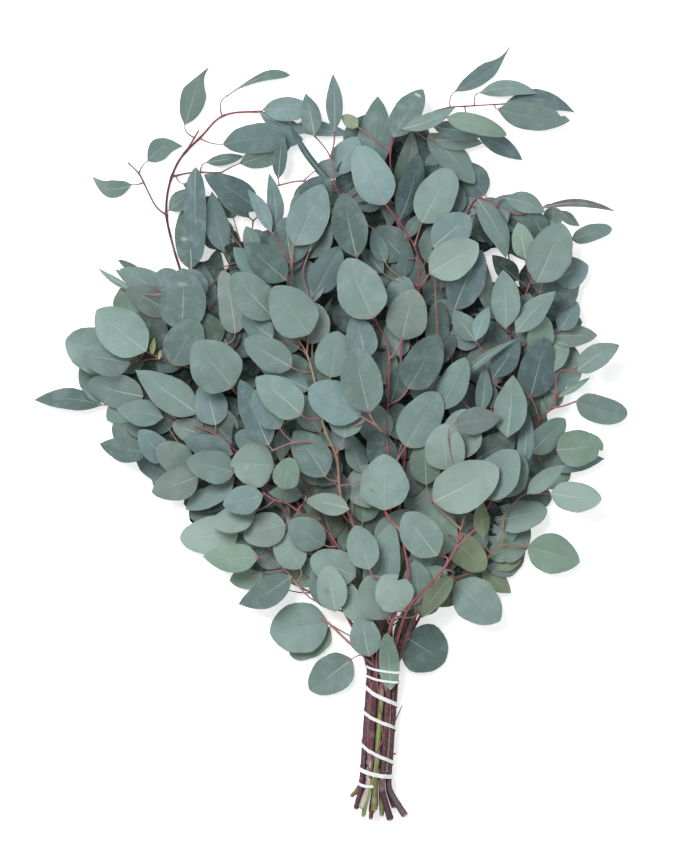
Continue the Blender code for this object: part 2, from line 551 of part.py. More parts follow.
def lay_out():
    """Place every stem, twig, stalk and blade; returns one record for each leafy stem."""
    pile = Pile()
    rng = random.Random(41)
    hidden_paths = {}
    for stem in STEMS:
        if stem.get("hidden"):
            offset, _ = slot_place(stem["slot"])
            stem["twigs"] = hidden_twigs([bundle_point(offset, True)] + stem["path"], rng)
            curves = [smooth_path([bundle_point(offset, True)] + stem["path"])]
            curves += [smooth_path(t) for t in stem["twigs"]]
            hidden_paths[stem["name"]] = curves
    given = hidden_leaves(hidden_paths, rng)
    laid = []
    for number, stem in enumerate(STEMS):
        rng = random.Random(900 + number)
        hidden = stem.get("hidden", False)
        before = pile.top.copy()
        under = list(stem.get("under", []))
        over = list(stem.get("leaves", []))
        if hidden:
            spread = given[stem["name"]]
            under = spread[0::2]
            over = spread[1::2]
        leaves = [make_leaf(pile, before, spec, rng, hidden) for spec in under]

        # woody stem: cut end, straight through the tie, then draped over the pile
        offset, level = slot_place(stem["slot"])
        top = bundle_point(offset, True)
        foot = bundle_point(offset, False)
        upper = smooth_path([top] + stem["path"])
        run = run_length(upper)
        radii = STEM_RADIUS + (STEM_TIP_RADIUS - STEM_RADIUS) * run / run[-1]
        draped = drape(pile, pile.foliage, upper, STEM_RADIUS, level, others=pile.stems)
        climb = 1.1 * np.maximum(0.0, draped[:, 1] + 178.0 - 7.0 * (3 - stem["slot"][0]))
        draped[:, 2] = np.minimum(draped[:, 2], level + climb)
        end = np.array([*stem["foot"], level])
        below = np.array([[*foot, level]])
        wood = np.vstack([end[None, :], below, draped])
        cut = stem["cut"]
        sizes = np.concatenate([[cut], [STEM_RADIUS], radii])
        pile.stems.append((wood, STEM_RADIUS))
        samples = [wood]
        skeleton = Skeleton()
        skeleton.add(draped, STEM_RADIUS, skip_below=-176)
        rods = [dict(kind="stem", points=wood, sizes=sizes)]
        pile.lay_rod(wood, STEM_RADIUS, stem=True)

        for twig in stem.get("twigs", []):
            root = skeleton.root_for(*twig[0], forward=0.0)
            xy = smooth_path([(root[0], root[1])] + list(twig[1:]))
            points = drape(pile, np.maximum(before, pile.blades), xy, TWIG_RADIUS, root[2])
            sizes = np.linspace(TWIG_RADIUS * 1.1, TWIG_RADIUS * 0.85, len(points))
            rods.append(dict(kind="twig", points=points, sizes=sizes))
            skeleton.add(points, TWIG_RADIUS)
            pile.lay_rod(points, TWIG_RADIUS)

        leaves += [make_leaf(pile, before, spec, rng, hidden) for spec in over]

        # leaf stalks, and a twig first where the leaf is far from the wood
        for leaf in leaves:
            bx, by = leaf["base"]
            ux, uy = leaf["along"]
            root = skeleton.root_for(bx, by, leaf["along"])
            start = np.array(root[:3])
            goal = np.array([bx, by, leaf["z"]])
            far = math.hypot(bx - root[0], by - root[1])
            if far > TWIG_REACH and not hidden:
                neck = np.array([bx - ux * 5.0, by - uy * 5.0])
                bend = (start[:2] + neck) / 2 + np.array([root[3], root[4]]) * far * 0.12
                xy = smooth_path([start[:2], bend, neck])
                points = np.column_stack([xy, np.linspace(start[2], goal[2], len(xy))])
                clear_of_pile(pile, before, points, TWIG_RADIUS, False)
                rods.append(dict(kind="twig", points=points,
                                 sizes=np.linspace(TWIG_RADIUS, TWIG_RADIUS * 0.85, len(points))))
                pile.lay_rod(points, TWIG_RADIUS)
                skeleton.add(points, TWIG_RADIUS)
                back = points[-1] - points[-2]
                start = points[-1] - back / np.linalg.norm(back) * 1.6
            else:
                d = goal - start
                start = start - d / (np.linalg.norm(d) + 1e-6) * 0.7
            mid = (start[:2] + goal[:2]) / 2 + np.array([root[3], root[4]]) * min(far, 12) * 0.08
            v = goal[:2] - start[:2]
            if (v[0] * ux + v[1] * uy) < 0.6 * np.linalg.norm(v):
                mid = goal[:2] - np.array([ux, uy]) * min(4.0, 0.4 * far + 1.0)
            xy = smooth_path([start[:2], mid, goal[:2]], 3.0)
            points = np.column_stack([xy, np.linspace(start[2], goal[2], len(xy))])
            clear_of_pile(pile, before, points, STALK_RADIUS, True)
            leaf["stalk"] = points
            pile.lay_rod(points, STALK_RADIUS)
        laid.append(dict(name=stem["name"], hidden=hidden, rods=rods, leaves=leaves))
    return laid


# Meshes
def mesh_object(name, vertices, faces, collection):
    """Mesh object from millimetre points; nothing reaches below the table."""
    mesh = bpy.data.meshes.new(name)
    mesh.from_pydata([Vector((x, y, max(z, 0.0))) * MM for x, y, z in vertices], [], faces)
    mesh.update()
    obj = bpy.data.objects.new(name, mesh)
    collection.objects.link(obj)
    return obj


def rod_mesh(points, sizes, sides):
    """Closed tube through the points, with a flat polygon at each end."""
    points = [np.array(p, dtype=float) for p in points]
    vertices, faces = [], []
    count = len(points)
    for i, p in enumerate(points):
        d = points[min(i + 1, count - 1)] - points[max(i - 1, 0)]
        d = d / (np.linalg.norm(d) + 1e-9)
        up = np.array([0.0, 0.0, 1.0])
        if abs(d[2]) > 0.85:
            up = np.array([0.6, 0.8, 0.0])
        across = np.cross(d, up)
        across = across / np.linalg.norm(across)
        lift = np.cross(across, d)
        for k in range(sides):
            angle = 2 * math.pi * (k + 0.5) / sides - math.pi / 2
            vertices.append(p + sizes[i] * (across * math.cos(angle) + lift * math.sin(angle)))
    for i in range(count - 1):
        for k in range(sides):
            a, b = i * sides + k, i * sides + (k + 1) % sides
            faces.append((a, b, b + sides, a + sides))
    faces.append(tuple(reversed(range(sides))))
    faces.append(tuple(range((count - 1) * sides, count * sides)))
    return vertices, faces


def blade_mesh(leaf, places):
    """Thin closed blade with its stalk: four-cornered sections, then a pointed tip."""
    bx, by = leaf["base"]
    ux, uy = leaf["along"]
    left = np.array([-uy, ux, 0.0])
    sections = []
    stalk = shorten(leaf["stalk"], 0.8)
    for i, p in enumerate(stalk[:-1]):
        d = stalk[i + 1] - (stalk[i - 1] if i else stalk[i])
        d = d / (np.linalg.norm(d) + 1e-9)
        across = left - (left @ d) * d
        if np.linalg.norm(across) < 0.35:
            across = np.cross([0.0, 0.0, 1.0], d)
        across = across / np.linalg.norm(across)
        up = np.cross(d, across)
        w, h = across * STALK_RADIUS, up * 0.65
        p = p + np.array([0.0, 0.0, max(0.0, 0.66 - p[2])])
        sections.append([p + w + h, p - w + h, p - w - h, p + w - h])
    for x in places:
        wide = leaf["half"] * outline_width(x, leaf["p"], leaf["q"])
        if x == 0:
            wide = max(1.0, 0.17 * leaf["half"])
        s = x * leaf["length"]
        corners = []
        for t, rise in ((wide, 1), (-wide, 1), (-wide, -1), (wide, -1)):
            corners.append(np.array([bx + ux * s - uy * t, by + uy * s + ux * t,
                                     float(blade_height(leaf, s, t)) + rise * BLADE / 2]))
        sections.append(corners)
    vertices = [c for corners in sections for c in corners]
    faces = [(0, 1, 2), (0, 2, 3)]
    for i in range(len(sections) - 1):
        a, b = 4 * i, 4 * i + 4
        faces += [(a, b + 1, a + 1), (a, b, b + 1)]
        faces += [(a + 1, b + 1, b + 2), (a + 1, b + 2, a + 2)]
        faces += [(a + 3, a + 2, b + 2), (a + 3, b + 2, b + 3)]
        faces += [(a + 3, b + 3, b), (a + 3, b, a)]
    tip = len(vertices)
    length = leaf["length"]
    for rise in (1, -1):
        vertices.append(np.array([bx + ux * length, by + uy * length,
                                  float(blade_height(leaf, length, 0.0)) + rise * BLADE / 2]))
    a = 4 * (len(sections) - 1)
    faces += [(a, tip, a + 1), (a + 3, a + 2, tip + 1)]
    faces += [(a + 1, tip, tip + 1), (a + 1, tip + 1, a + 2)]
    faces += [(a + 3, tip + 1, tip), (a + 3, tip, a)]
    return vertices, faces


def outward(mesh):
    """Turn every face of a closed mesh outwards."""
    bm = bmesh.new()
    bm.from_mesh(mesh)
    bmesh.ops.recalc_face_normals(bm, faces=bm.faces)
    if bm.calc_volume(signed=True) < 0:
        bmesh.ops.reverse_faces(bm, faces=bm.faces)
    bm.to_mesh(mesh)
    bm.free()


def fuse(name, solids, scene_collection, material):
    """One Boolean union joins a leafy stem's wood, stalks and blades."""
    parts = bpy.data.collections.new(name + "_parts")
    scene_collection.children.link(parts)
    body = None
    for i, (vertices, faces) in enumerate(solids):
        holder = scene_collection if i == 0 else parts
        obj = mesh_object(name if i == 0 else name + "_piece", vertices, faces, holder)
        outward(obj.data)
        body = body or obj
    cut = body.modifiers.new("union", "BOOLEAN")
    cut.operation = "UNION"
    cut.operand_type = "COLLECTION"
    cut.collection = parts
    cut.solver = "MANIFOLD"
    bpy.context.view_layer.update()
    graph = bpy.context.evaluated_depsgraph_get()
    fused = bpy.data.meshes.new_from_object(body.evaluated_get(graph))
    body.modifiers.clear()
    old = body.data
    body.data = fused
    fused.name = name
    bpy.data.meshes.remove(old)
    for obj in list(parts.objects):
        data = obj.data
        bpy.data.objects.remove(obj)
        bpy.data.meshes.remove(data)
    bpy.data.collections.remove(parts)
    fused.materials.clear()
    fused.materials.append(material)
    tidy_mesh(fused)
    return body


def faults(bm):
    """How many edges don't join exactly two faces that run opposite ways along them."""
    return sum(1 for edge in bm.edges if not (edge.is_manifold and edge.is_contiguous))


def merge_points(bm, reach, slack):
    """Merge neighbouring points nearer than the reach where no face moves by the slack."""
    for _ in range(8):
        used, target = set(), {}
        for edge in sorted(bm.edges, key=lambda e: e.calc_length()):
            if edge.calc_length() > reach:
                break
            u, v = edge.verts
            if u in used or v in used:
                continue
            near_u = {e.other_vert(u) for e in u.link_edges}
            near_v = {e.other_vert(v) for e in v.link_edges}
            if len(near_u & near_v) != 2:
                continue
            best = None
            for gone, kept in ((u, v), (v, u)):
                worst = 0.0
                for face in gone.link_faces:
                    if kept in face.verts:
                        continue
                    a, b, c = [kept.co if w is gone else w.co for w in face.verts]
                    normal = (b - a).cross(c - a)
                    if normal.length < 1e-10 or normal.normalized().dot(face.normal) < 0.5:
                        worst = 1.0
                        break
                    worst = max(worst, abs((kept.co - gone.co).dot(face.normal)))
                if worst < slack and (best is None or worst < best[0]):
                    best = (worst, gone, kept)
            if best:
                target[best[1]] = best[2]
                used |= near_u | near_v | {u, v}
        if not target:
            break
        previous = bm.copy()
        allowed = faults(bm)
        bmesh.ops.weld_verts(bm, targetmap=target)
        bm.normal_update()
        if faults(bm) > allowed:
            bm.free()
            return previous
        previous.free()
    return bm


def tidy_mesh(mesh):
    """Fewer points where the union cut faces into slivers, as long as the body stays closed."""
    for smallest in (0.005, 0.0):
        bm = bmesh.new()
        bm.from_mesh(mesh)
        bmesh.ops.triangulate(bm, faces=bm.faces)
        allowed = faults(bm)
        if not smallest:
            break
        bmesh.ops.dissolve_degenerate(bm, dist=smallest * MM, edges=bm.edges)
        bmesh.ops.triangulate(bm, faces=bm.faces)
        if faults(bm) <= allowed:
            break
        bm.free()
    bm.normal_update()
    for reach, slack in ((0.76, 0.4), (2.0, 0.15), (60, 0.06)):
        bm = merge_points(bm, reach * MM, slack * MM)
    bm.to_mesh(mesh)
    bm.free()


def elastic_ring():
    """Rounded outline round the tied stems: (across, height) points, counter-clockwise."""
    corners = []
    rows = (3, 5, 5, 3)
    for row, count in enumerate(rows):
        half = (count - 1) / 2 * SLOT_PITCH
        corners.append((half, FIRST_ROW_HEIGHT + row * SLOT_PITCH))
    hull = corners + [(-x, z) for x, z in reversed(corners)]
    reach = STEM_RADIUS + GAP
    ring = []
    n = len(hull)
    for i in range(n):
        before, here, after = hull[i - 1], hull[i], hull[(i + 1) % n]
        a0 = math.atan2(here[1] - before[1], here[0] - before[0]) - math.pi / 2
        a1 = math.atan2(after[1] - here[1], after[0] - here[0]) - math.pi / 2
        while a1 < a0:
            a1 += 2 * math.pi
        for angle in (a0, a1):
            ring.append((here[0] + reach * math.cos(angle), here[1] + reach * math.sin(angle)))
        if a1 - a0 > 0.9:
            mid = (a0 + a1) / 2
            wide = reach / math.cos((a1 - a0) / 4)
            ring.insert(-1, (here[0] + wide * math.cos(mid), here[1] + wide * math.sin(mid)))
    return ring


# Where the elastic crosses the front, (y at the left edge, y at the right edge), top first.
BANDS = [(-186.4, -189.2), (-193.8, -197.0), (-202.6, -215.6), (-222.6, -234.0),
         (-248.4, -262.0), (-268.6, -274.2)]


def elastic_mesh():
    """One ribbon wound down the bundle."""
    ring = elastic_ring()
    n = len(ring)
    # start at the left edge and run over the top to the right, then back underneath
    order = sorted(range(n), key=lambda i: (ring[i][0], -ring[i][1]))
    start = order[0]
    turn = [ring[(start - k) % n] for k in range(n)]
    split = max(range(n), key=lambda k: (turn[k][0], turn[k][1]))
    lengths = [0.0]
    for k in range(1, n + 1):
        a, b = turn[k - 1], turn[k % n]
        lengths.append(lengths[-1] + math.hypot(b[0] - a[0], b[1] - a[1]))
    stations = []
    for band, (left, right) in enumerate(BANDS):
        last = band == len(BANDS) - 1
        following = right - 6.5 if last else BANDS[band + 1][0]
        for k in range(n):
            if k <= split:
                f = lengths[k] / lengths[split]
                y = left + (right - left) * f
            else:
                f = (lengths[k] - lengths[split]) / (lengths[n] - lengths[split])
                y = right + (following - right) * f
            stations.append((turn[k], y))
    for k in range(0, max(2, split // 2 + 1)):
        y = BANDS[-1][1] - 6.5 - 1.6 * k / split
        stations.append((turn[k], y))
    dx, dy = TIE_TOP[0] - TIE_FOOT[0], TIE_TOP[1] - TIE_FOOT[1]
    long = math.hypot(dx, dy)
    axis = np.array([dx / long, dy / long, 0.0])
    across = np.array([dy / long, -dx / long, 0.0])
    centre_height = FIRST_ROW_HEIGHT + 1.5 * SLOT_PITCH
    vertices, faces = [], []
    count = len(stations)
    for i, ((u, z), y) in enumerate(stations):
        f = (y - TIE_FOOT[1]) / (TIE_TOP[1] - TIE_FOOT[1])
        centre = np.array([TIE_FOOT[0] + f * dx, TIE_FOOT[1] + f * dy, 0.0])
        a, b = stations[max(i - 1, 0)][0], stations[min(i + 1, count - 1)][0]
        before = stations[i - 1][0] if i else a
        after = b
        t0 = np.array([u - before[0], z - before[1]]) if i else None
        t1 = np.array([after[0] - u, after[1] - z]) if i < count - 1 else None
        t0 = t1 if t0 is None else t0
        t1 = t0 if t1 is None else t1
        t0 = t0 / (np.linalg.norm(t0) + 1e-9)
        t1 = t1 / (np.linalg.norm(t1) + 1e-9)
        n0 = np.array([-t0[1], t0[0]])
        n1 = np.array([-t1[1], t1[0]])
        normal = n0 + n1
        normal = normal / np.linalg.norm(normal)
        if normal @ np.array([u, z - centre_height]) < 0:
            normal = -normal
        stretch = 1.0 / max(0.7, abs(float(normal @ n0)))
        base = centre + across * u + np.array([0.0, 0.0, z])
        out = (across * normal[0] + np.array([0.0, 0.0, normal[1]])) * ELASTIC_THICKNESS * stretch
        half = axis * ELASTIC_WIDTH / 2
        vertices += [base - half, base + half, base + half + out, base - half + out]
    for i in range(count - 1):
        for k in range(4):
            a, b = i * 4 + k, i * 4 + (k + 1) % 4
            faces.append((a, b, b + 4, a + 4))
    faces.append((3, 2, 1, 0))
    last = (count - 1) * 4
    faces.append((last, last + 1, last + 2, last + 3))
    return vertices, faces


def make_material(name, colour, roughness):
    material = bpy.data.materials.new(name)
    material.use_nodes = True
    shader = material.node_tree.nodes["Principled BSDF"]
    shader.inputs["Base Color"].default_value = (*colour, 1.0)
    shader.inputs["Roughness"].default_value = roughness
    shader.inputs["Metallic"].default_value = 0.0
    return material


def build():
    for obj in list(bpy.data.objects):
        bpy.data.objects.remove(obj)
    scene_collection = bpy.context.scene.collection
    elastic_material = make_material("white_elastic", (0.86, 0.86, 0.84), 0.7)
    for i, record in enumerate(lay_out()):
        shade = 0.9 + 0.2 * (i % 5) / 5
        leaf_material = make_material(record["name"] + "_leaf",
                                      (0.20 * shade, 0.27 * shade, 0.25 * shade), 0.6)
        solids = []
        for rod in record["rods"]:
            wood = rod["kind"] == "stem"
            if wood:
                points = rod["points"]
                keep = shorten(points[2:], 0.55)
                keep = [points[0], points[1]] + keep
                index = [int(np.argmin(np.linalg.norm(points - k, axis=1))) for k in keep]
                sizes = [rod["sizes"][j] for j in index]
                solids.append(rod_mesh(keep, sizes, 5))
            else:
                keep = shorten(rod["points"], 0.5)
                size = float(rod["sizes"].mean()) * 1.12
                solids.append(rod_mesh(keep, [size] * len(keep), 3))
        for leaf in record["leaves"]:
            if leaf["half"] * 2 < LARGE_LEAF:
                continue
            big = leaf["length"] > 34 and leaf["half"] > 12 and not record["hidden"]
            places = (0.0, 0.2, 0.5, 0.82) if big else (0.0, 0.28, 0.72)
            solids.append(blade_mesh(leaf, places))
        fuse(record["name"], solids, scene_collection, leaf_material)
    vertices, faces = elastic_mesh()
    tie = mesh_object("elastic_tie", vertices, faces, scene_collection)
    outward(tie.data)
    tie.data.materials.append(elastic_material)


if __name__ == "__main__":
    build()
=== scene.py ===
"""Tied bunch of round-leaved eucalyptus, dressed: fine leaves, twigs, woody stems and elastic.

The layout below repeats the rule that placed the solids, with the same lists and seeds, so each
fine piece lies where its solid is. Lengths are in millimetres until a mesh is made.
"""

import json
import math
import random
from functools import partial

import bpy
import numpy as np
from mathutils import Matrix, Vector

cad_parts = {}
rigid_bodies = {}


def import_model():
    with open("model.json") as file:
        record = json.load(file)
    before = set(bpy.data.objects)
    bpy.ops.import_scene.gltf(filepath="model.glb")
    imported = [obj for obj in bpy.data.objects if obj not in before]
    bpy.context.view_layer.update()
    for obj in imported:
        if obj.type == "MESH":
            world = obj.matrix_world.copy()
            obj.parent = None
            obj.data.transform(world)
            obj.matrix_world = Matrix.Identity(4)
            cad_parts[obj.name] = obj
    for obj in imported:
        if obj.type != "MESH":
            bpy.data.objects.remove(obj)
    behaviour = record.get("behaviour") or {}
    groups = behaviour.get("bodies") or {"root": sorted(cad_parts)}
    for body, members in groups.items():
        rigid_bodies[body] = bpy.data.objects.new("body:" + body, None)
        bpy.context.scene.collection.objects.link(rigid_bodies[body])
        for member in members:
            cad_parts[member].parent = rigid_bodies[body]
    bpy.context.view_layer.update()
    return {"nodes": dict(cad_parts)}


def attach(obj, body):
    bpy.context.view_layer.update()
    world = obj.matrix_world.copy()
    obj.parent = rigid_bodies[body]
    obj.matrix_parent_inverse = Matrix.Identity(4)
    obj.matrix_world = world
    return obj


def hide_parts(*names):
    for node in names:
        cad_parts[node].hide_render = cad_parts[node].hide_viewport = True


bl_info = {
    "name": "Tied eucalyptus bunch",
    "version": (1, 0, 0),
    "blender": (4, 5, 0),
    "location": "View3D > Sidebar > Eucalyptus",
    "description": "Dresses a tied bunch of round-leaved eucalyptus lying on a white table",
    "category": "Object",
}

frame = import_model()

# Driving dimensions, in millimetres
MM = 0.001
STEM_RADIUS = 2.4          # woody stem where it is tied
STEM_TIP_RADIUS = 1.05     # the same stem at its far end
TWIG_RADIUS = 1.05
STALK_RADIUS = 0.8         # leaf stalk (petiole)
BLADE = 0.8                # leaf blade, measured straight up
ROW_COUNTS = (3, 5, 5, 3)  # tied stems in each row, lowest first
SLOT_PITCH = 5.2           # stem to stem inside the tie
FIRST_ROW_HEIGHT = 3.6     # centre of the lowest row of tied stems
TIE_TOP = (42.6, -182.0)   # middle of the tied bundle, leaf side
TIE_FOOT = (35.6, -283.0)  # middle of the tied bundle, cut side
TIE_RUN = (TIE_TOP[0] - TIE_FOOT[0], TIE_TOP[1] - TIE_FOOT[1])
LIFT = 1.0                 # air between one leafy stem and the next
CELL = 2.0                 # grid on which the pile's top surface is kept
X_LOW, X_HIGH = -256.0, 256.0
Y_LOW, Y_HIGH = -326.0, 326.0
LEAVES_FROM = -170.0       # above this the stems part and carry leaves
TWIG_REACH = 34.0          # a leaf farther than this from a twig gets a twig of its own
HIDDEN_LEAVES = 58         # leaves of the lower stems, which the upper ones cover
VEIN_PITCH = 3.4           # side vein to side vein along the rib
VEIN_SLANT = 0.72          # how far a side vein leans forward for each step outwards

# Outline of the bunch inside which the hidden lower leaves are spread.
OUTLINE = [
    (-8, 196), (12, 244), (40, 262), (72, 256), (98, 232), (118, 200), (152, 182), (180, 172),
    (200, 136), (202, 108), (204, 76), (182, 44), (164, 26), (170, 4), (204, -4), (204, -26),
    (168, -66), (142, -98), (118, -126), (84, -126), (58, -112), (20, -112),
    (-18, -110), (-70, -118), (-104, -90), (-136, -44), (-172, -10), (-188, 28),
    (-200, 66), (-174, 114), (-150, 134), (-116, 132), (-106, 190), (-76, 204), (-52, 160),
    (-30, 186),
]

